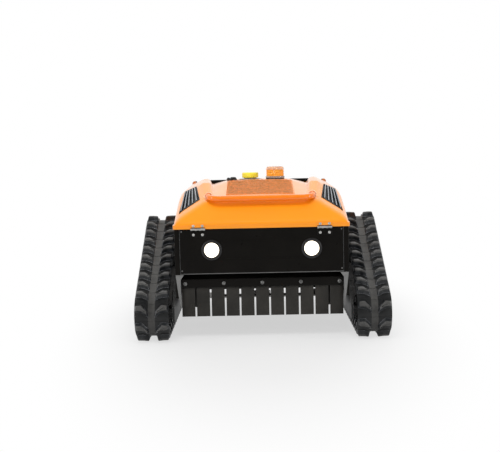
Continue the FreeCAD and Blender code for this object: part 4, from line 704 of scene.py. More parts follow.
def hood():
    """The orange moulding, with holes for the intake, the filler, the vents and the handle."""
    mouth = bmesh.new()
    block(mouth, MOUTH_LOW, MOUTH_HIGH)
    cutters = [mouth, drill("z", (*CAP_PLACE, 0), *FILLER_CUT, FILLER_RADIUS, 48)]
    near, far = (BAR_Y + reach for reach in SOCKET_REACH)
    for side in SIDES:
        vent = bmesh.new()
        plan = vent_plan(side, VENT_CUT_INSET)
        loft(vent, [[(x, y, z) for x, y in plan] for z in VENT_CUT])
        cutters.append(vent)
        place = (side * HANDLE_SPAN, 0, BAR_Z + SOCKET_RISE)
        cutters.append(drill("y", place, near, far, SOCKET_RADIUS, 32))
    mesh = cut_away(hood_mesh(), cutters)
    piece("hood_moulding", mesh, hood_paint, "hood", ["hood_shell"], smooth=30)


def roof_level(x, y):
    """The roof's height at one point."""
    flat = min(CREST_TOP + ROOF_CLIMB * (y - CREST_Y), ROOF_TOP)
    return flat - float(roof_bow(np.array([x]), np.array([y]))[0])


MESH_FRONT, MESH_REAR, MESH_HALF, MESH_GAUGE = -0.2985, -0.0640, 0.1245, 0.0009
MESH_SKEW, MESH_EDGE, MESH_EDGE_HEIGHT = 0.0003, 0.002, 0.0013
# pitch, row step, half a strand's width, lift off the roof and start behind the front edge
MESH_LAYERS = ((0.0156, 0.0112, 0.0019, 0.0020, 0.0), (0.0078, 0.0040, 0.0011, 0.0002, 0.0105))


def expanded_mesh():
    """The air intake: expanded metal whose strands zigzag across the hood."""
    mesh = bmesh.new()
    for pitch, row_step, strand, lift, behind in MESH_LAYERS:
        start = MESH_FRONT + behind
        rows = int((MESH_REAR - start - row_step / 2) / row_step)
        columns = int(2 * MESH_HALF / (pitch / 2))
        for row in range(rows + 1):
            middle = start + (row + 0.5) * row_step
            rings = []
            for column in range(columns + 1):
                x = -MESH_HALF + column * pitch / 2
                y = middle + (row_step / 2 if (column + row) % 2 else -row_step / 2)
                z = roof_level(x, y) + lift
                rings.append([(x, y - strand, z), (x, y + strand, z + MESH_SKEW),
                              (x, y + strand, z + MESH_GAUGE + MESH_SKEW), (x, y - strand, z + MESH_GAUGE)])
            loft(mesh, rings)
    for x in (-MESH_HALF, MESH_HALF - MESH_EDGE):
        rings = []
        for y in (MESH_FRONT, -0.18, MESH_REAR):
            z = roof_level(MESH_HALF, y) + 0.0001
            rings.append([(x, y, z), (x + MESH_EDGE, y, z), (x + MESH_EDGE, y, z + MESH_EDGE_HEIGHT),
                          (x, y, z + MESH_EDGE_HEIGHT)])
        loft(mesh, rings)
    rings = []
    steps = 12
    for step in range(steps + 1):
        x = MESH_HALF * (step / (steps / 2) - 1)
        z = roof_level(x, MESH_REAR)
        far = MESH_REAR + MESH_EDGE
        rings.append([(x, MESH_REAR, z), (x, far, z), (x, far, z + MESH_EDGE_HEIGHT),
                      (x, MESH_REAR, z + MESH_EDGE_HEIGHT)])
    loft(mesh, rings)
    piece("intake_mesh", mesh, mesh_paint, "hood", ["hood_grille"])


# share across and drop of the vent's floor
VENT_FLOOR = ((0, 0.0035), (0.33, 0.0035), (0.67, 0.0035), (1, 0.0035), (1, 0.0055), (0.67, 0.0055),
              (0.33, 0.0055), (0, 0.0055))
# way inward and lift of the vent's rim
VENT_RIM = ((0.0, -0.004), (0.0, 0.0008), (0.0012, 0.0020), (0.0034, 0.0020), (0.0044, 0.0008),
            (0.0044, -0.004), (0.0, -0.004))
# way outward, lift and share of the arch of a slat
SLAT_SHAPE = ((0.0, -0.004, 0), (0.0050, 0.0012, 1), (0.0044, 0.0026, 1), (0.0028, 0.0034, 1),
              (0.0010, 0.0026, 1), (-0.0026, -0.004, 0))
SLATS, SLAT_ARCH, SLAT_SINK = 5, 0.0035, 0.0005


def vents():
    """Two black inserts in the shoulders, each with a raised rim and curved black slats whose upward faces
    carry a grey painted highlight.
    """
    mesh = bmesh.new()
    for side in SIDES:
        corners = vent_plan(side)

        def across_vent(share, across):
            outer = corners[0].lerp(corners[3], share)
            return outer.lerp(corners[1].lerp(corners[2], share), across)

        rings = []
        floor_steps, rim_steps, slat_steps = 10, 8, 12
        for step in range(floor_steps + 1):
            ring = []
            for across, drop in VENT_FLOOR:
                x, y = across_vent(step / floor_steps, across)
                ring.append((x, y, shoulder_z(x, y) - drop))
            rings.append(ring)
        loft(mesh, rings)
        loop = []
        for a, b in zip(corners, corners[1:] + corners[:1]):
            loop += [a.lerp(b, step / rim_steps) for step in range(rim_steps)]
        middle = sum(corners, Vector((0, 0))) / 4
        rings = []
        for inward, lift in VENT_RIM:
            ring = []
            for point in loop:
                x, y = point + (middle - point).normalized() * inward
                ring.append((x, y, shoulder_z(x, y) + lift))
            rings.append(ring)
        loft(mesh, rings, caps=False)
        for number in range(SLATS):
            across = (number + 0.62) / (SLATS + 0.25)
            rings = []
            for step in range(slat_steps + 1):
                x, y = across_vent(0.035 + 0.93 * step / slat_steps, across)
                arch = SLAT_ARCH * math.sin(math.pi * step / slat_steps) - SLAT_SINK
                level = shoulder_z(x, y)
                rings.append([(x + side * out, y, level + lift + arch * share)
                              for out, lift, share in SLAT_SHAPE])
            loft(mesh, rings)
    bmesh.ops.remove_doubles(mesh, verts=mesh.verts, dist=0.000001)
    thing = piece("side_vents", mesh, [black_plastic, slat_top_highlight], "hood", ["hood_louvres"])
    # the upward faces of the slats take the grey painted highlight
    for face in thing.data.polygons:
        above = face.center.z - shoulder_z(face.center.x, face.center.y)
        upward = above > 0.0024 and face.normal.z > 0.3
        if upward and len(face.vertices) == 4 and inside_rim(face.center):
            face.material_index = 1


def inside_rim(point):
    """True where a point over a vent is well inside its rim."""
    side = 1 if point.x > 0 else -1
    corners = vent_plan(side, 0.0075)
    total = 0
    for a, b in zip(corners, corners[1:] + corners[:1]):
        turn = (b.x - a.x) * (point.y - a.y) - (b.y - a.y) * (point.x - a.x)
        total += 1 if turn * side > 0 else -1
    return abs(total) == 4


def handle():
    """The orange tube handle, and the ferrules where it enters the hood, made pale as a painted highlight."""
    mesh = bmesh.new()
    path = bent_path(HANDLE_SPAN, HANDLE_BEND, HANDLE_LEG, (0, BAR_Y, BAR_Z - 0.002), HANDLE_WAY)
    tube_along(mesh, path, HANDLE_RADIUS, 24)
    piece("handle_tube", mesh, handle_paint, "hood", ["hood_handle"], smooth=50)
    # ferrule rings, pale with a painted highlight
    mesh = bmesh.new()
    for side in SIDES:
        ring_of(mesh, "y", (side * HANDLE_SPAN, BAR_Y + 0.0435, BAR_Z + 0.0056), 0.0130, 0.0022)
    piece("handle_ferrules", mesh, ferrule_highlight_paint, "hood", smooth=60)


KNUCKLES, KNUCKLE_GAP, LEAF_GAUGE, LEAF_STEM = 7, 0.0003, 0.0019, 0.0055
KNUCKLE_RADIUS, KNUCKLE_BORE, HINGE_PIN = 0.0035, 0.0012, 0.0014
HINGE_SCREW = (0.0040, 0.0028)


def hinges():
    """Rolled hinges: seven knuckles on a pin, two leaves and four screws each, and a thin black strip of
    painted shadow under the hood's lip.
    """
    lower, upper = bmesh.new(), bmesh.new()
    width = HINGE_WIDTH / KNUCKLES
    back, face = -BODY_REACH, -BODY_REACH - LEAF_GAUGE
    soft = 0.0004
    for side in SIDES:
        left = side * HINGE_SPREAD - HINGE_WIDTH / 2
        right = left + HINGE_WIDTH
        block(lower, (left, face, HINGE_Z - 0.028), (right, back, HINGE_Z - 0.0045))
        block(upper, (left, face, HINGE_Z + 0.0045), (right, back, HINGE_Z + 0.018))
        # a thin black strip just above the knuckles: painted shadow standing for the shade under the hood's lip
        block(upper, (left, face - soft, HINGE_Z + 0.0038), (right, back, HINGE_Z + 0.0064), material=2)
        for number in range(KNUCKLES):
            mesh = upper if number % 2 else lower
            start = left + number * width + KNUCKLE_GAP
            end = start + width - 2 * KNUCKLE_GAP
            half = (end - start) / 2
            lathe(mesh, "x", ((start + end) / 2, HINGE_Y, HINGE_Z), [
                (-half, KNUCKLE_BORE), (-half, KNUCKLE_RADIUS - soft), (soft - half, KNUCKLE_RADIUS),
                (half - soft, KNUCKLE_RADIUS), (half, KNUCKLE_RADIUS - soft), (half, KNUCKLE_BORE)],
                20, material=1)
            reach = sorted((HINGE_Z, HINGE_Z + (LEAF_STEM if number % 2 else -LEAF_STEM)))
            block(mesh, (start, face, reach[0]), (end, back, reach[1]), material=1)
        lathe(lower, "x", (left, HINGE_Y, HINGE_Z), [
            (soft, soft / 2), (soft, HINGE_PIN), (HINGE_WIDTH - soft, HINGE_PIN),
            (HINGE_WIDTH - soft, soft / 2)], 12, material=1)
        for shift in (-0.016, 0.016):
            screw(lower, "y", (side * HINGE_SPREAD + shift, face, 0.3745), -1, *HINGE_SCREW, 1)
            screw(upper, "y", (side * HINGE_SPREAD + shift, face, 0.4055), -1, *HINGE_SCREW, 1)
    piece("hinge_lower", lower, [body_paint, hinge_zinc], "machine", ["hinge_lower_leaves"],
          bevel=0.0003)
    piece("hinge_upper", upper, [hood_paint, hinge_zinc, black_plastic], "hood",
          ["hinge_upper_leaves"], bevel=0.0003)


# ---- top fittings ----

BEACON_PLACE, BEACON_BANDS, BEACON_CELLS = (0.062, 0.060), 4, 24


def beacon():
    """Ribbed amber lens under a clear cap, on a black foot."""
    place = (*BEACON_PLACE, ROOF_TOP)
    mesh = bmesh.new()
    lathe(mesh, "z", place, [(-0.008, 0.0365), (0.0010, 0.0365), (0.0018, 0.0350), (0.0020, 0.0345),
                             (0.0020, 0.004)], 48)
    piece("beacon_foot", mesh, black_plastic, "hood", ["beacon_base"])
    mesh = bmesh.new()
    low, top = 0.0082, 0.0468
    profile = [(low, 0.004), (low, 0.0340)]
    tall = (0.034 - low) / BEACON_BANDS
    for number in range(BEACON_BANDS):
        start = low + number * tall
        profile += [(start + tall * share, radius) for share, radius in (
            (0.10, 0.0332), (0.32, 0.0354), (0.68, 0.0354), (0.90, 0.0332))]
    profile += [(0.0345, 0.0338), (0.0352, 0.004)]
    lathe(mesh, "z", place, profile, 144, ribs=BEACON_CELLS, rib_depth=0.0020)
    piece("beacon_lens_barrel", mesh, amber_lens, "hood", ["beacon_lens"], smooth=50)
    mesh = bmesh.new()
    lathe(mesh, "z", place, [(0.0021, 0.0300), (0.0021, 0.0378), (0.0060, 0.0378), (0.0080, 0.0362),
                             (0.0080, 0.0300)], 64, caps=False)
    lathe(mesh, "z", place, [
        (0.0344, 0.030), (0.0344, 0.0362), (0.0372, 0.0363), (0.0380, 0.0350), (0.0420, 0.0340),
        (0.0448, 0.0318), (0.0462, 0.0280), (top, 0.0200), (top, 0.003)], 64)
    piece("beacon_cap", mesh, clear_lens, "hood", smooth=50)
    mesh = bmesh.new()
    lathe(mesh, "z", place, [(0.0356, 0.003), (0.0356, 0.0300), (0.0400, 0.0290), (0.0430, 0.0240),
                             (0.0440, 0.003)], 48, ribs=16, rib_depth=0.002)
    piece("beacon_crown", mesh, amber_lens, "hood", smooth=50)


def fuel_cap():
    """Yellow screw cap with finger ribs and a sunk top, and the rubber grommet round its neck."""
    mesh = bmesh.new()
    x, y = CAP_PLACE
    low, top = 0.550, 0.570
    lathe(mesh, "z", (x, y, 0), [
        (low, 0.0254), (low, 0.0312), (low + 0.0015, 0.0326), (top - 0.0040, 0.0326),
        (top - 0.0015, 0.0318), (top - 0.0002, 0.0300)], 128, ribs=32, rib_depth=0.0011, caps=False)
    lathe(mesh, "z", (x, y, 0), [
        (top - 0.0002, 0.0296), (top - 0.0002, 0.0265), (top - 0.0018, 0.0255), (top - 0.0018, 0.0120),
        (top - 0.0008, 0.0105), (top - 0.0008, 0.0005)], 64, caps=True)
    lathe(mesh, "z", (x, y, 0), [(low, 0.0256), (top - 0.0045, 0.0256), (top - 0.0045, 0.0005)], 48,
          caps=False)
    piece("filler_cap", mesh, cap_plastic, "fuel_cap", ["fuel_cap"], smooth=40)
    mesh = bmesh.new()
    level = ROOF_TOP - float(sag(y))
    profile = [(-0.0055, 0.0425), (-0.0055, 0.0480), (-0.0035, 0.0480), (-0.0035, 0.0458), (0.0000, 0.0458),
               (0.0000, 0.0474), (0.0006, 0.0471), (0.0009, 0.0462), (0.0008, 0.0435), (0.0000, 0.0425)]
    lathe(mesh, "z", (x, y, level - 0.0004), profile + profile[:1], 64, caps=False)
    piece("filler_grommet", mesh, black_plastic, "hood", smooth=40)


def aerial_puck():
    """Black base of the receiver's aerial: a low disc with two bosses."""
    mesh = bmesh.new()
    place = (-0.109, 0.0, ROOF_TOP)
    lathe(mesh, "z", place, [(-0.004, 0.0205), (0.0022, 0.0205), (0.0032, 0.0196), (0.0036, 0.0005)], 48)
    for shift, radius, height in ((0.0055, 0.0125, 0.0098), (-0.0130, 0.0062, 0.0078)):
        lathe(mesh, "z", (place[0] + shift, place[1], place[2]), [
            (0.0030, radius), (height * 0.6, radius * 0.96), (height * 0.9, radius * 0.8),
            (height, radius * 0.5), (height, 0.0004)], 32)
    piece("aerial_puck", mesh, black_plastic, "hood", ["aerial_base"])


# ---- body ----

CORNER_SCREW_X, CORNER_SCREW_LEVELS = 0.283, (0.386, 0.246)
SIDE_SCREW_PLACES, SIDE_SCREW_LEVEL = (-0.34, -0.17, 0.17, 0.34), 0.378
SEAM_IN, SEAM_OUT, SEAM_LOW, SEAM_HIGH = 0.2915, 0.2945, 0.1505, 0.233
PANEL_EDGE, PANEL_LOW, PANEL_HIGH = 0.2895, 0.2350, 0.3930
# front view of a corner plate, from its upper outer corner
CORNER_PLATE = ((0.3070, 0.2320), (0.2775, 0.2320), (PANEL_EDGE, 0.2150), (PANEL_EDGE, 0.1120),
                (0.2915, 0.1120), (0.2980, 0.1570))


def body_details():
    """Small screws, seams, corner plates, and hems on the black body whose lighter lines are painted highlights
    along the panel edges.
    """
    mesh = bmesh.new()
    for end in SIDES:
        for side in SIDES:
            for level in CORNER_SCREW_LEVELS:
                screw(mesh, "y", (side * CORNER_SCREW_X, end * BODY_REACH, level), end, 0.0021, 0.0016)
    for side in SIDES:
        for along in SIDE_SCREW_PLACES:
            screw(mesh, "x", (side * BODY_HALF, along, SIDE_SCREW_LEVEL), side, 0.0040, 0.0026)
    piece("panel_screws", mesh, dull_zinc, "machine")
    mesh = bmesh.new()
    for side in SIDES:
        for end in SIDES:
            y = end * (BODY_REACH - 0.0035)
            ring = [(side * SEAM_IN, SEAM_LOW), (side * SEAM_OUT, SEAM_LOW), (side * SEAM_OUT, SEAM_HIGH),
                    (side * SEAM_IN, SEAM_HIGH)]
            loft(mesh, [[(x, y + step, z) for x, z in ring] for step in (-0.001 * end, 0.002 * end)])
    piece("corner_seams", mesh, frame_paint, "machine")
    mesh = bmesh.new()
    for end in SIDES:
        near, far = end * (BODY_REACH + 0.0002), end * (BODY_REACH + 0.0016)
        for side in SIDES:
            loft(mesh, [[(side * x, y, z) for x, z in CORNER_PLATE] for y in (near, far)])
    piece("corner_plates", mesh, corner_paint, "machine", bevel=0.0004)
    # hem beads: grey at the bottom and frame grey at the sides, painted highlights along the panel edges
    mesh = bmesh.new()
    for end in SIDES:
        y = end * (BODY_REACH - 0.0004)
        tube_along(mesh, [(x, y, PANEL_LOW) for x in (-PANEL_EDGE, 0.0, PANEL_EDGE)], 0.0015, 12)
        for side in SIDES:
            edge = [(side * PANEL_EDGE, y, z) for z in (PANEL_LOW, PANEL_HIGH)]
            tube_along(mesh, edge, 0.0010, 8, 1)
    piece("panel_hems", mesh, [hem_highlight_paint, frame_paint], "machine", smooth=60)


def headlights():
    """Two lit round lamps: a black housing with a rounded bezel, and the glowing lens."""
    for side, name in SIDE_NAMES:
        centre = (side * LAMP_SPREAD, -BODY_REACH, LAMP_HEIGHT)
        mesh = bmesh.new()
        lathe(mesh, "y", centre, [
            (0.0005, 0.0250), (0.0005, 0.0364), (-0.0016, 0.0365), (-0.0030, 0.0356), (-0.0039, 0.0335),
            (-0.0039, 0.0302), (-0.0032, 0.0270), (-0.0010, 0.0256)], 64, caps=False)
        lathe(mesh, "y", centre, [(0.0006, 0.005), (0.0006, 0.0326), (0.0330, 0.0300), (0.0410, 0.0180),
                                  (0.0418, 0.002)], 48)
        piece(f"lamp_body_{name}", mesh, black_plastic, "machine",
              ["headlight_housings"] if side < 0 else (), smooth=40)
        mesh = bmesh.new()
        lathe(mesh, "y", centre, [
            (-0.0006, 0.0258), (-0.0036, 0.0254), (-0.0046, 0.0232), (-0.0052, 0.0165), (-0.0054, 0.0085),
            (-0.0054, 0.0004)], 64)
        piece(f"lamp_lens_{name}", mesh, lamp_glow, "machine",
              ["headlight_lenses"] if side < 0 else (), smooth=50)


CURTAIN_Y, CURTAIN_HALF, STRIP_COUNT, STRIP_SLIT = 0.380, 0.288, 11, 0.006
CLAMP_BOLT_PITCH, CLAMP_BOLT_LEVEL, CLAMP_FACE = 0.137, 0.199, 0.011
STRIP_TOP, STRIP_LENGTH, TWIST, CURL = 0.1826, 0.1036, 0.0012, 0.0016
# height and half the thickness of a strip, from its hem to the top
STRIP_LEVELS = ((0.0790, 0.0013), (0.0800, 0.0019), (0.1050, 0.0020), (0.1400, 0.0020), (0.1700, 0.0020),
                (STRIP_TOP, 0.0020), (0.1843, 0.0007))
# a strip's section as shares of its half width and half thickness
STRIP_SECTION = ((-1, -0.6), (-0.94, -1.0), (0.94, -1.0), (1, -0.6), (1, 0.6), (0.94, 1.0), (-0.94, 1.0),
                 (-1, 0.6))


def curtain(end, name):
    """Domed bolts of the clamp bar, and the hanging rubber strips, each a little twisted."""
    mesh = bmesh.new()
    place = end * CURTAIN_Y
    for number in (-2, -1, 0, 1, 2):
        spot = (number * CLAMP_BOLT_PITCH, place + end * CLAMP_FACE, CLAMP_BOLT_LEVEL)
        screw(mesh, "y", spot, end, 0.0054, 0.0050)
    piece(f"clamp_bolts_{name}", mesh, dull_zinc, "machine", ["flap_bolts"] if end < 0 else ())
    mesh = bmesh.new()
    pitch = (2 * CURTAIN_HALF + STRIP_SLIT) / STRIP_COUNT
    seeded = np.random.default_rng(7 if end < 0 else 8)
    for number in range(STRIP_COUNT):
        left = number * pitch - CURTAIN_HALF
        right = left + pitch - STRIP_SLIT
        middle, wide = (left + right) / 2, (right - left) / 2
        twist, curl = seeded.uniform(-TWIST, TWIST), seeded.uniform(0.0, CURL)
        rings = []
        for z, thick in STRIP_LEVELS:
            sway = 0.6 * max((STRIP_TOP - z) / STRIP_LENGTH, 0.0) ** 2
            rings.append([(middle + u * wide, place + v * thick + sway * (curl * end + twist * u), z)
                          for u, v in STRIP_SECTION])
        loft(mesh, rings)
    where = "front_curtain" if end < 0 else "rear_curtain"
    piece(f"rubber_strips_{name}", mesh, flap_rubber, where, [f"strips_{name}"])


# ---- tracks ----

BELT_X, BELT_HALF = 0.390, 0.060
BELT_GAUGE = 0.010
SPROCKET_Y, SPROCKET_Z, SPROCKET_RADIUS, SPROCKET_TEETH = 0.052, 0.312, 0.069, 8
IDLER_Y, IDLER_Z, IDLER_RADIUS = 0.396477, 0.092, 0.066
ROLLER_Y, ROLLER_Z, ROLLER_RADIUS = 0.198, 0.071, 0.045
WHEEL_IN, WHEEL_OUT = 0.351, 0.429
WHEEL_DISH, WHEEL_SCREW_CIRCLE, LARGE_WHEEL = 0.0125, 0.036, 0.05


def belt_runs():
    """The belt's middle line as arcs and straights, from the sprocket's top to the rear."""
    half = BELT_GAUGE / 2
    circles = [(SPROCKET_Y, SPROCKET_Z, SPROCKET_RADIUS + half), (IDLER_Y, IDLER_Z, IDLER_RADIUS + half),
               (-IDLER_Y, IDLER_Z, IDLER_RADIUS + half)]
    headings = []
    for here, there in zip(circles, circles[1:] + circles[:1]):
        step = (there[0] - here[0], there[1] - here[1])
        headings.append(math.atan2(step[1], step[0]) + math.asin((there[2] - here[2]) / math.hypot(*step)))
    runs = []
    heading = 0.0
    for number, (y, z, radius) in enumerate(circles):
        turn = (heading - headings[number]) % (2 * math.pi)
        runs.append((radius * turn, True, (y, z), radius, heading))
        heading = headings[number]
        there = circles[(number + 1) % 3]
        start = (y - radius * math.sin(heading), z + radius * math.cos(heading))
        end = (there[0] - there[2] * math.sin(heading), there[1] + there[2] * math.cos(heading))
        runs.append((math.dist(start, end), False, start, 0.0, heading))
    turn = heading % (2 * math.pi)
    runs.append((circles[0][2] * turn, True, circles[0][:2], circles[0][2], heading))
    return runs


BELT_RUNS = belt_runs()
BELT_LENGTH = sum(run[0] for run in BELT_RUNS)
LUG_PITCH = 2 * math.pi * (SPROCKET_RADIUS + BELT_GAUGE / 2) / SPROCKET_TEETH
LUG_COUNT = round(BELT_LENGTH / LUG_PITCH)


def belt_place(distance):
    """Y, Z and heading at a distance along the belt."""
    for length, curved, origin, radius, heading in BELT_RUNS:
        if distance <= length:
            break
        distance -= length
    if curved:
        heading -= distance / radius
        return origin[0] - radius * math.sin(heading), origin[1] + radius * math.cos(heading), heading
    return origin[0] + distance * math.cos(heading), origin[1] + distance * math.sin(heading), heading


def rounded(outline, radius, steps=3):
    """An outline with its corners rounded."""
    result = []
    for before, here, after in zip(outline[-1:] + outline[:-1], outline, outline[1:] + outline[:1]):
        here, before, after = Vector(here), Vector(before), Vector(after)
        start = here + (before - here).normalized() * radius
        end = here + (after - here).normalized() * radius
        for step in range(steps + 1):
            share = step / steps
            result.append(tuple(start.lerp(here, share).lerp(here.lerp(end, share), share)))
    return result


def grown(outline, distance):
    """An outline with every edge moved outwards, or inwards if distance is negative."""
    points = [Vector(point) for point in outline]
    total = sum(a.x * b.y - b.x * a.y for a, b in zip(points, points[1:] + points[:1]))
    sign = -1 if total > 0 else 1
    moved = []
    for before, here, after in zip(points[-1:] + points[:-1], points, points[1:] + points[:1]):
        into, out = (here - before).normalized(), (after - here).normalized()
        first, second = Vector((-into.y, into.x)) * sign, Vector((-out.y, out.x)) * sign
        moved.append(here + (first + second) * (distance / (1 + first.dot(second))))
    return [tuple(point) for point in moved]


# height over the belt's face, and growth of the outline there
LUG_RINGS = ((-0.0030, 0.0012), (0.0, 0.0008), (0.0008, 0.0), (0.0120, -0.0030), (0.0145, -0.0040),
             (0.0156, -0.0052), (0.0160, -0.0068))
GUIDE_RINGS = ((-0.0020, 0.0008), (0.0008, 0.0), (0.0150, -0.0028), (0.0172, -0.0038), (0.0178, -0.0052))
LUG_ROUND, GUIDE_ROUND = 0.0028, 0.002
GUIDE_X, GUIDE_HALF, GUIDE_HALF_LENGTH = 0.050, 0.007, 0.011
# the belt's section from its inner left edge: share of the half width, and way out from the middle
BELT_SECTION = ((-1.0, -0.0030), (-0.985, -0.0046), (-0.96, -0.0050), (-0.35, -0.0050), (0.35, -0.0050),
                (0.96, -0.0050), (0.985, -0.0046), (1.0, -0.0030), (1.0, 0.0030), (0.985, 0.0046),
                (0.96, 0.0050), (0.20, 0.0050), (0.15, 0.0038), (-0.15, 0.0038), (-0.20, 0.0050),
                (-0.96, 0.0050), (-0.985, 0.0046), (-1.0, 0.0030))
# places along one pitch, and the depth of the groove there
PITCH_PLACES = ((-0.0016, 0.0), (-0.0008, 0.0012), (0.0008, 0.0012), (0.0016, 0.0), (0.011, 0.0),
                (0.021, 0.0), (0.031, 0.0), (0.041, 0.0))


def lug_outline(side):
    """Plan of half a chevron: straight at the belt's edge, and lagging towards the middle."""
    edge, waist, heel, half, lag = 0.058, 0.0348, 0.0125, 0.0135, 0.020
    points = [(edge, -half * 0.78), (edge, half * 0.78), (waist, half), (heel, half * 0.60 - lag),
              (heel, -half * 0.60 - lag), (waist, -half)]
    return [(side * x, w) for x, w in points]


def belt(side, name):
    """Rubber belt: carcass with pitch grooves, chevron tread lugs, and guide lugs inside. The carcass between
    the lugs is painted darker as shade, the lug tops are painted lighter as light, and the middle strip is
    lighter than the carcass beside it.
    """
    mesh = bmesh.new()
    outline = [(x * BELT_HALF, out) for x, out in BELT_SECTION]
    samples = []
    for number in range(LUG_COUNT):
        start = (number + 0.29) * LUG_PITCH
        for shift, depth in PITCH_PLACES:
            samples.append(((start + shift) % BELT_LENGTH, depth))
    rings = []
    for distance, depth in samples:
        y, z, heading = belt_place(distance)
        ring = []
        for x, out in outline:
            out -= depth if out > 0.003 and abs(x) < 0.9 * BELT_HALF else 0.0
            ring.append((side * BELT_X + x, y - out * math.sin(heading), z + out * math.cos(heading)))
        rings.append(ring)
    # the carcass takes the painted-shade rubber, and its middle strip the lighter strip rubber
    loft(mesh, rings + rings[:1], caps=False, material=1)
    for face in mesh.faces:
        if abs(abs(face.calc_center_median().x) - BELT_X) < 0.19 * BELT_HALF:
            face.material_index = 2
    for number in range(LUG_COUNT):
        y, z, heading = belt_place(number * LUG_PITCH)

        def spot(across, along, out):
            return (side * BELT_X + across, y + along * math.cos(heading) - out * math.sin(heading),
                    z + along * math.sin(heading) + out * math.cos(heading))

        for hand in SIDES:
            rings = []
            for height, growth in LUG_RINGS:
                shape = rounded(grown(lug_outline(hand), growth), LUG_ROUND)
                rings.append([spot(a, b, BELT_GAUGE / 2 + height) for a, b in shape])
            rows = loft(mesh, rings[:4], caps=False)
            mesh.faces.new(rows[0][::-1])
            # the lug tops take the painted-light copy of the rubber
            rows = loft(mesh, rings[3:], caps=False, material=3)
            mesh.faces.new(rows[-1]).material_index = 3
            near, far = hand * GUIDE_X - GUIDE_HALF, hand * GUIDE_X + GUIDE_HALF
            guide = [(near, -GUIDE_HALF_LENGTH), (far, -GUIDE_HALF_LENGTH), (far, GUIDE_HALF_LENGTH),
                     (near, GUIDE_HALF_LENGTH)]
            rings = []
            for height, growth in GUIDE_RINGS:
                shape = rounded(grown(guide, growth), GUIDE_ROUND)
                rings.append([spot(a, b, -BELT_GAUGE / 2 - height) for a, b in shape])
            loft(mesh, rings)
    bmesh.ops.remove_doubles(mesh, verts=mesh.verts, dist=0.000001)
    for vert in mesh.verts:
        vert.co.z = max(vert.co.z, 0)
    piece(f"rubber_belt_{name}", mesh, [track_rubber, carcass_rubber_painted_shade, strip_rubber, lug_top_painted_light], "machine",
          [f"track_belt_{name}"], smooth=40)


def wheel_profile(radius, side):
    """Outer and inner dish of a moulded wheel, as (along, radius) from its inner face."""
    width = WHEEL_OUT - WHEEL_IN
    profile = [
        (0.0, 0.0102), (0.0, 0.022), (0.006, 0.024), (0.012, radius - 0.016), (0.002, radius - 0.013),
        (0.0, radius - 0.011), (0.0, radius - 0.003), (0.002, radius - 0.0005),
        (width - 0.002, radius - 0.0005), (width, radius - 0.003), (width, radius - 0.011),
        (width - 0.002, radius - 0.013),
        (width - 0.014, radius - 0.016), (width - 0.009, 0.026), (width - 0.001, 0.024), (width, 0.022),
        (width, 0.0102),
    ]
    start = WHEEL_IN if side > 0 else -WHEEL_IN
    return [(start + side * along, reach) for along, reach in profile]


def wheels(side, name):
    """Two idlers and three rollers with dished faces, stiffening ribs and a ring of screws."""
    places = [("idler_front", -IDLER_Y, IDLER_Z, IDLER_RADIUS),
              ("idler_rear", IDLER_Y, IDLER_Z, IDLER_RADIUS)]
    for label, number in (("front", -1), ("middle", 0), ("rear", 1)):
        places.append((f"roller_{label}", number * ROLLER_Y, ROLLER_Z, ROLLER_RADIUS))
    for label, y, z, radius in places:
        mesh = bmesh.new()
        profile = wheel_profile(radius, side)
        lathe(mesh, "x", (0, y, z), profile + profile[:1], 56, caps=False)
        face = side * (WHEEL_OUT - WHEEL_DISH)
        large = radius > LARGE_WHEEL
        spokes = 6 if large else 5
        for spoke in range(spokes):
            angle = 2 * math.pi * spoke / spokes
            out = Vector((0, math.cos(angle), math.sin(angle)))
            across = Vector((0, -math.sin(angle), math.cos(angle)))
            rings = []
            for reach, half, rise in ((0.0245, 0.0035, 0.0105), (radius - 0.0150, 0.0028, 0.0060)):
                middle = Vector((0, y, z)) + out * reach
                foot, crest = Vector((face - side * 0.004, 0, 0)), Vector((face + side * rise, 0, 0))
                rings.append([middle + across * half + foot, middle - across * half + foot,
                              middle - across * half * 0.7 + crest, middle + across * half * 0.7 + crest])
            loft(mesh, rings)
            if large:
                angle += math.pi / spokes
                spot = (face, y + WHEEL_SCREW_CIRCLE * math.cos(angle),
                        z + WHEEL_SCREW_CIRCLE * math.sin(angle))
                screw(mesh, "x", spot, side, 0.0038, 0.0035, 1)
        piece(f"{label}_wheel_{name}", mesh, [wheel_plastic, zinc_steel], f"{label}_{name}",
              [f"{label}_{name}"], smooth=38)


def sprocket_hub(side, name):
    """Bolted plate on the sprocket's outer face."""
    mesh = bmesh.new()
    face = side * (BELT_X + BELT_HALF - 0.003)
    centre = (face, SPROCKET_Y, SPROCKET_Z)
    plate = ((-0.002, 0.014), (-0.002, 0.0385), (0.0014, 0.0385), (0.0022, 0.0375), (0.0022, 0.0165),
             (0.0010, 0.0155))
    lathe(mesh, "x", centre, [(side * along, radius) for along, radius in plate], 48, caps=False)
    bolts, circle = 6, 0.030
    for number in range(bolts):
        angle = 2 * math.pi * (number + 0.5) / bolts
        spot = (face + side * 0.0015, SPROCKET_Y + circle * math.cos(angle),
                SPROCKET_Z + circle * math.sin(angle))
        screw(mesh, "x", spot, side, 0.0034, 0.0022, 1)
    piece(f"sprocket_plate_{name}", mesh, [frame_paint, zinc_steel], f"drive_sprocket_{name}")


# ---- inside and rear ----

DECK_TOP, SHROUD_TOP = 0.175, 0.390
FAN_RINGS, FAN_FIRST, FAN_STEP = 6, 0.010, 0.0085
FAN_BARS, FAN_BAR_REACH, FAN_BAR_HALF, FAN_BAR_HEIGHT = 8, (0.008, 0.054), 0.0012, 0.0014
SHROUD_SCREW_SPREAD, CASE_SCREW_X, CASE_SCREW_Y, CASE_SCREW_LEVEL = 0.070, 0.133, 0.036, 0.240
GUARD_BARS, GUARD_STEP, GUARD_LOW, GUARD_IN, GUARD_HALF = 7, 0.0072, 0.2155, 0.1335, 0.044
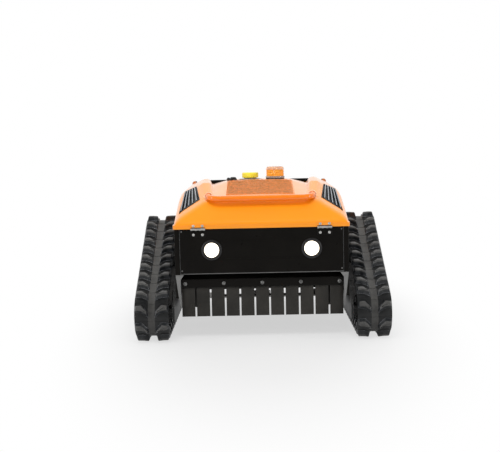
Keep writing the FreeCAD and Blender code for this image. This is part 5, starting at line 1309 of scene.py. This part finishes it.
# the spark lead, from the plug up to the shroud
LEAD_PATH = ((-0.030, -0.158, 0.268), (-0.034, -0.176, 0.274), (-0.050, -0.190, 0.290),
             (-0.072, -0.186, 0.318), (-0.086, -0.160, 0.342), (-0.088, -0.120, 0.350),
             (-0.084, -0.1085, 0.352))


def engine_details():
    """Fan screen, screws, exhaust guard and spark lead on the engine, all riding on the deck."""
    mesh = bmesh.new()
    for number in range(FAN_RINGS):
        ring_of(mesh, "z", (0, 0, SHROUD_TOP + 0.0052), FAN_FIRST + FAN_STEP * number, 0.0011, 48)
    high = Vector((0, 0, FAN_BAR_HEIGHT))
    for number in range(FAN_BARS):
        angle = 2 * math.pi * number / FAN_BARS
        out = Vector((math.cos(angle), math.sin(angle), 0))
        across = Vector((-out.y, out.x, 0)) * FAN_BAR_HALF
        rings = []
        for reach in FAN_BAR_REACH:
            middle = out * reach + Vector((0, 0, SHROUD_TOP + 0.0044))
            rings.append([middle - across, middle + across, middle + across + high, middle - across + high])
        loft(mesh, rings)
    piece("fan_screen_wires", mesh, zinc_steel, "deck")
    mesh = bmesh.new()
    for end in SIDES:
        for side in SIDES:
            place = (side * SHROUD_SCREW_SPREAD, end * SHROUD_SCREW_SPREAD, SHROUD_TOP)
            screw(mesh, "z", place, 1, 0.0050, 0.0040)
    for side in SIDES:
        for end in SIDES:
            place = (side * CASE_SCREW_X, end * CASE_SCREW_Y, CASE_SCREW_LEVEL)
            screw(mesh, "x", place, side, 0.0040, 0.0030)
    piece("engine_screws", mesh, zinc_steel, "deck")
    mesh = bmesh.new()
    for number in range(GUARD_BARS):
        z = GUARD_LOW + number * GUARD_STEP
        block(mesh, (GUARD_IN, -GUARD_HALF, z), (0.1362, GUARD_HALF, z + 0.0028))
    for y in (-GUARD_HALF, 0.041):
        block(mesh, (GUARD_IN, y, 0.2130), (0.1372, y + 0.003, 0.2640))
    piece("exhaust_guard", mesh, burnt_steel, "deck", bevel=0.0005)
    mesh = bmesh.new()
    tube_along(mesh, LEAD_PATH, 0.0035, 12)
    lathe(mesh, "y", (-0.030, 0, 0.266), [
        (-0.182, 0.002), (-0.182, 0.006), (-0.170, 0.007), (-0.1585, 0.006), (-0.1585, 0.002)], 20)
    piece("spark_lead", mesh, black_plastic, "deck", smooth=60)


BUSH_SPREAD = 0.2395


def deck_details():
    """Wipers on the guide bushes, and the bolts that hold the engine to the deck."""
    mesh = bmesh.new()
    for side in SIDES:
        for end in SIDES:
            spot = (side * BUSH_SPREAD, end * BUSH_SPREAD)
            lathe(mesh, "z", (*spot, 0.2450), [(0, 0.0105), (0, 0.0178), (0.0022, 0.0172), (0.0030, 0.0105)],
                  32, caps=False)
    piece("bush_wipers", mesh, flap_rubber, "deck")
    mesh = bmesh.new()
    bolts, circle = 8, 0.0936
    for number in range(bolts):
        angle = 2 * math.pi * (number + 0.5) / bolts
        screw(mesh, "z", (circle * math.cos(angle), circle * math.sin(angle), DECK_TOP), 1, 0.0045, 0.0035)
    piece("deck_bolts", mesh, zinc_steel, "deck")


BATTERY_GAP, STRAP_SHIFT, STRAP_HALF, POST_SHIFT = 0.020, 0.05, 0.009, 0.075
BOX_SCREW_MARGIN, GLANDS, GLAND_MARGIN = 0.010, 6, 0.035
MOTOR_RIBS, RIB_STEP, RIB_BACK = 9, 0.0085, 0.150


def inner_details():
    """Battery straps and posts, control box screws and glands, and motor ribs under the hood."""
    mesh = bmesh.new()
    low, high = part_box("batteries")
    for side in SIDES:
        middle = side * (high.x + BATTERY_GAP) / 2
        for shift in (-STRAP_SHIFT, STRAP_SHIFT):
            near, far = middle + shift - STRAP_HALF, middle + shift + STRAP_HALF
            block(mesh, (near, low.y - 0.0012, low.z + 0.002), (far, low.y, high.z + 0.0012))
            block(mesh, (near, low.y - 0.0012, high.z), (far, high.y, high.z + 0.0014))
    piece("battery_straps", mesh, flap_rubber, "machine", bevel=0.0004)
    mesh = bmesh.new()
    for side in SIDES:
        middle = side * (high.x + BATTERY_GAP) / 2
        for shift in (-POST_SHIFT, POST_SHIFT):
            lathe(mesh, "z", (middle + shift, (low.y + high.y) / 2, high.z), [
                (0, 0.002), (0, 0.0085), (0.0030, 0.0085), (0.0032, 0.0055), (0.0100, 0.0048),
                (0.0100, 0.001)], 20)
    piece("battery_posts", mesh, zinc_steel, "machine")
    mesh = bmesh.new()
    low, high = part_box("control_box")
    for x in (low.x + BOX_SCREW_MARGIN, high.x - BOX_SCREW_MARGIN):
        for y in (low.y + BOX_SCREW_MARGIN, high.y - BOX_SCREW_MARGIN):
            screw(mesh, "z", (x, y, high.z), 1, 0.0038, 0.0024)
    piece("control_box_screws", mesh, zinc_steel, "machine")
    mesh = bmesh.new()
    for number in range(GLANDS):
        x = low.x + GLAND_MARGIN + number * (high.x - low.x - 2 * GLAND_MARGIN) / (GLANDS - 1)
        lathe(mesh, "y", (x, high.y, (low.z + high.z) / 2), [
            (-0.001, 0.003), (-0.001, 0.0075), (0.006, 0.0075), (0.007, 0.0060), (0.016, 0.0052),
            (0.016, 0.002)], 16)
    piece("cable_glands", mesh, black_plastic, "machine")
    low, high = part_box("gearmotors")
    mesh = bmesh.new()
    for side in SIDES:
        for number in range(MOTOR_RIBS):
            along = side * (high.x - RIB_BACK + number * RIB_STEP)
            ring_of(mesh, "x", (along, SPROCKET_Y, SPROCKET_Z), 0.0300, 0.0014, 32)
    piece("motor_ribs", mesh, black_plastic, "machine", smooth=60)


REAR_BAR_SPAN, REAR_BAR_BEND, REAR_BAR_LEG, REAR_BAR_RADIUS = 0.250, 0.040, 0.2155, 0.0125
REAR_BAR_PLACE, REAR_BOLT_LEVELS = (0, 0.4125, 0.5155), (0.318, 0.352)
MARKER_LEVEL, MARKER_PLATE, MARKER_HALF = 0.512, (0.2618, 0.2664), 0.007
MARKER_STUB, MARKER_LENS = 0.2655, 0.2728


def rear_fittings():
    """Bar behind the hood with its bolts, the two marker lamps, and the stop button."""
    mesh = bmesh.new()
    path = bent_path(REAR_BAR_SPAN, REAR_BAR_BEND, REAR_BAR_LEG, REAR_BAR_PLACE, (0, 0, -1))
    tube_along(mesh, path, REAR_BAR_RADIUS, 24)
    piece("rear_bar_tube", mesh, body_paint, "machine", ["rear_bar"], smooth=50)
    mesh = bmesh.new()
    for side in SIDES:
        for z in REAR_BOLT_LEVELS:
            screw(mesh, "y", (side * REAR_BAR_SPAN, 0.4248, z), 1, 0.0052, 0.0026)
    piece("rear_bar_bolts", mesh, zinc_steel, "machine")
    low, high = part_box("marker_lamps")
    y, z = (low.y + high.y) / 2, MARKER_LEVEL
    stubs, lenses = bmesh.new(), bmesh.new()
    for side in SIDES:
        plate = sorted(side * x for x in MARKER_PLATE)
        block(stubs, (plate[0], y - MARKER_HALF, low.z + 0.0005), (plate[1], y + MARKER_HALF, z + MARKER_HALF))
        start = side * MARKER_STUB
        lathe(stubs, "x", (0, y, z), [(start + side * along, radius) for along, radius in (
            (0, 0.003), (0, 0.0068), (0.0026, 0.0068), (0.0042, 0.0100), (0.0050, 0.0122),
            (0.0072, 0.0122), (0.0072, 0.002))], 32)
        first, last = side * MARKER_LENS, side * (high.x - 0.0003)
        lathe(lenses, "x", (0, y, z), [
            (first, 0.002), (first, 0.0128), (first + side * 0.006, 0.0128), (first + side * 0.011, 0.0122),
            (last - side * 0.003, 0.0095), (last - side * 0.0006, 0.0050), (last, 0.001)],
            48, ribs=16, rib_depth=0.0007)
    piece("marker_stubs", stubs, black_plastic, "machine", ["marker_lamps"], bevel=0.0005)
    piece("marker_lenses", lenses, marker_amber, "machine", smooth=50)
    low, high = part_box("stop_button")
    centre = ((low.x + high.x) / 2, 0, (low.z + high.z) / 2)
    mesh = bmesh.new()
    head = high.y - 0.012
    lathe(mesh, "y", centre, [
        (low.y, 0.001), (low.y, 0.0072), (head, 0.0072), (head, 0.0170), (head + 0.002, 0.0188),
        (head + 0.0055, 0.0189), (head + 0.0095, 0.0172), (high.y - 0.0006, 0.0120), (high.y, 0.0060),
        (high.y, 0.0005)], 48)
    piece("stop_mushroom", mesh, stop_plastic, "stop_button", ["stop_button"], smooth=45)


# ---- camera and studio ----

def set_camera():
    """The camera at the photograph's place, with its slight roll."""
    data = bpy.data.cameras.new("photo_camera")
    data.lens = CAMERA_LENS_MM
    data.sensor_width = SENSOR_MM
    camera = bpy.data.objects.new("photo_camera", data)
    turn = Matrix.Rotation(CAMERA_LEFT, 4, "Z") @ Matrix.Rotation(math.pi / 2 - CAMERA_DOWN, 4, "X")
    camera.matrix_world = Matrix.Translation(CAMERA_PLACE) @ turn @ Matrix.Rotation(-CAMERA_ROLL, 4, "Z")
    bpy.context.scene.collection.objects.link(camera)
    bpy.context.scene.camera = camera


def seen_or_mirrored(tree, behind):
    """1 for rays from the camera; behind, from 0 to 1, for rays off gloss or through glass."""
    path = put(tree, "ShaderNodeLightPath")
    either = put(tree, "ShaderNodeMath", {"operation": "MAXIMUM"}, n0=path.outputs["Is Glossy Ray"],
                 n1=path.outputs["Is Transmission Ray"])
    mirrored = put(tree, "ShaderNodeMath", {"operation": "MULTIPLY"}, n0=either.outputs[0], n1=behind)
    return put(tree, "ShaderNodeMath", {"operation": "MAXIMUM"}, n0=mirrored.outputs[0],
               n1=path.outputs["Is Camera Ray"]).outputs[0]


# name, place, width, height, power, and whether gloss mirrors it
SOFT_LAMPS = (
    ("front_softbox", (-0.4, -2.9, 4.2), 3.0, 2.2, 120, False),
    ("top_softbox", (0.0, 0.4, 3.2), 2.6, 2.6, 20, False),
    ("left_softbox", (-3.2, -1.6, 1.5), 0.5, 1.7, 20, True),
    ("right_softbox", (3.2, -1.4, 1.5), 0.5, 1.7, 20, True),
    ("left_strip", (-1.7, -2.6, 0.8), 0.25, 0.8, 6, True),
    ("right_strip", (1.7, -2.6, 0.8), 0.25, 0.8, 6, True),
    ("rear_softbox", (0.6, 3.6, 2.4), 2.4, 1.6, 40, False),
)
LAMP_AIM = (0, 0, 0.25)
SOFT_SURROUNDINGS = 0.34
FLOOR_TONES, FLOOR_OVAL, FLOOR_FADE, FLOOR_LEAST, FLOOR_REACH = (
    (0.59, 0.62), (1.9, 0.75, 1.0), (0.55, 1.5), 0.60, 40)


def studio():
    """White surroundings, a floor that keeps the shadow and fades to white, and soft lamps."""
    world = bpy.data.worlds.new("studio_world")
    bpy.context.scene.world = world
    world.use_nodes = True
    tree = world.node_tree
    heading = put(tree, "ShaderNodeSeparateXYZ", Vector=put(tree, "ShaderNodeTexCoord").outputs["Generated"])
    behind = put(tree, "ShaderNodeMapRange", {"interpolation_type": "SMOOTHSTEP"}, Value=heading.outputs["Y"],
                 From_Min=-0.25, From_Max=0.60, To_Min=0.10, To_Max=1.0)
    share = seen_or_mirrored(tree, behind.outputs["Result"])
    path = put(tree, "ShaderNodeLightPath")
    soft = put(tree, "ShaderNodeMath", {"operation": "MULTIPLY"}, n0=path.outputs["Is Diffuse Ray"],
               n1=SOFT_SURROUNDINGS)
    strength = put(tree, "ShaderNodeMath", {"operation": "MAXIMUM"}, n0=share, n1=soft.outputs[0])
    tree.links.new(strength.outputs[0], tree.nodes["Background"].inputs["Strength"])
    tree.nodes["Background"].inputs["Color"].default_value = (1, 1, 1, 1)
    floor_finish = bpy.data.materials.new("studio_floor")
    floor_finish.use_nodes = True
    tree = floor_finish.node_tree
    shader = tree.nodes["Principled BSDF"]
    place = put(tree, "ShaderNodeTexCoord").outputs["Object"]
    grain = put(tree, "ShaderNodeTexNoise", Vector=place, Scale=3.0, Detail=4.0)
    shade = put(tree, "ShaderNodeMapRange", Value=grain.outputs["Fac"], To_Min=FLOOR_TONES[0],
                To_Max=FLOOR_TONES[1])
    tree.links.new(shade.outputs["Result"], shader.inputs["Base Color"])
    shader.inputs["Roughness"].default_value = 0.7
    shader.inputs["Specular IOR Level"].default_value = 0.2
    oval = put(tree, "ShaderNodeVectorMath", {"operation": "MULTIPLY"}, n0=place, n1=FLOOR_OVAL)
    away = put(tree, "ShaderNodeVectorMath", {"operation": "LENGTH"}, n0=oval.outputs[0])
    fade = put(tree, "ShaderNodeMapRange", {"interpolation_type": "SMOOTHSTEP"}, Value=away.outputs["Value"],
               From_Min=FLOOR_FADE[0], From_Max=FLOOR_FADE[1], To_Min=FLOOR_LEAST, To_Max=1.0)
    depth = put(tree, "ShaderNodeSeparateXYZ", Vector=place)
    behind = put(tree, "ShaderNodeMapRange", {"interpolation_type": "SMOOTHSTEP"}, Value=depth.outputs["Y"],
                 From_Min=-1.2, From_Max=0.6, To_Min=0.0, To_Max=1.0)
    amount = put(tree, "ShaderNodeMath", {"operation": "MULTIPLY"}, n0=fade.outputs["Result"],
                 n1=seen_or_mirrored(tree, behind.outputs["Result"]))
    white = put(tree, "ShaderNodeEmission", Color=(1.0, 1.0, 1.0), Strength=1.0)
    mix = put(tree, "ShaderNodeMixShader", n0=amount.outputs[0], n1=shader.outputs["BSDF"],
              n2=white.outputs["Emission"])
    tree.links.new(mix.outputs[0], tree.nodes["Material Output"].inputs["Surface"])
    mesh = bpy.data.meshes.new("floor")
    corners = [(x * FLOOR_REACH, y * FLOOR_REACH, 0) for x, y in ((-1, -1), (1, -1), (1, 1), (-1, 1))]
    mesh.from_pydata(corners, [], [(0, 1, 2, 3)])
    floor = bpy.data.objects.new("floor", mesh)
    mesh.materials.append(floor_finish)
    bpy.context.scene.collection.objects.link(floor)
    for name, place, wide, tall, power, mirrored in SOFT_LAMPS:
        light = bpy.data.lights.new(name, "AREA")
        light.shape = "RECTANGLE"
        light.size, light.size_y = wide, tall
        light.energy = power
        lamp = bpy.data.objects.new(name, light)
        lamp.visible_glossy = mirrored
        lamp.location = place
        lamp.rotation_euler = (Vector(LAMP_AIM) - Vector(place)).to_track_quat("-Z", "Y").to_euler()
        bpy.context.scene.collection.objects.link(lamp)


# ---- the whole mower ----

set_camera()
studio()
bpy.context.scene.view_settings.view_transform = "Standard"

hood()
expanded_mesh()
vents()
handle()
hinges()
beacon()
fuel_cap()
aerial_puck()
body_details()
headlights()
for end, name in ((-1, "front"), (1, "rear")):
    curtain(end, name)
for side, name in SIDE_NAMES:
    belt(side, name)
    wheels(side, name)
    sprocket_hub(side, name)
engine_details()
deck_details()
inner_details()
rear_fittings()

for node, material, bevel in (
    ("chassis_frame", frame_paint, 0.0010), ("front_panel", body_paint, 0.0012),
    ("rear_panel", body_paint, 0.0012), ("side_panel_left", body_paint, 0.0012),
    ("side_panel_right", body_paint, 0.0012), ("flap_brackets", body_paint, 0.0010),
    ("curtain_headers", flap_rubber, 0.0008), ("flap_clamps", body_paint, 0.0010),
    ("fuel_tank", tank_plastic, 0.0060), ("batteries", battery_case, 0.0030),
    ("control_box", box_plastic, 0.0020), ("lift_tube", frame_paint, 0.0010),
    ("lift_rod", zinc_steel, 0.0006), ("guide_rods", zinc_steel, 0.0006),
    ("gearmotors", engine_plastic, 0.0015), ("stop_housing", black_plastic, 0.0012),
    ("track_frame_left", frame_paint, 0.0012), ("track_frame_right", frame_paint, 0.0012),
    ("axle_caps", zinc_steel, 0.0008), ("drive_sprocket_left", wheel_plastic, 0.0012),
    ("drive_sprocket_right", wheel_plastic, 0.0012), ("deck_shell", deck_paint, 0.0015),
    ("engine_block", cast_alloy, 0.0015), ("engine_shroud", engine_plastic, 0.0050),
    ("muffler", burnt_steel, 0.0030), ("air_filter", engine_plastic, 0.0030),
    ("blade_spindle", bare_steel, 0.0010), ("cutter_blade", bare_steel, 0.0008),
):
    keep(node, material, bevel)
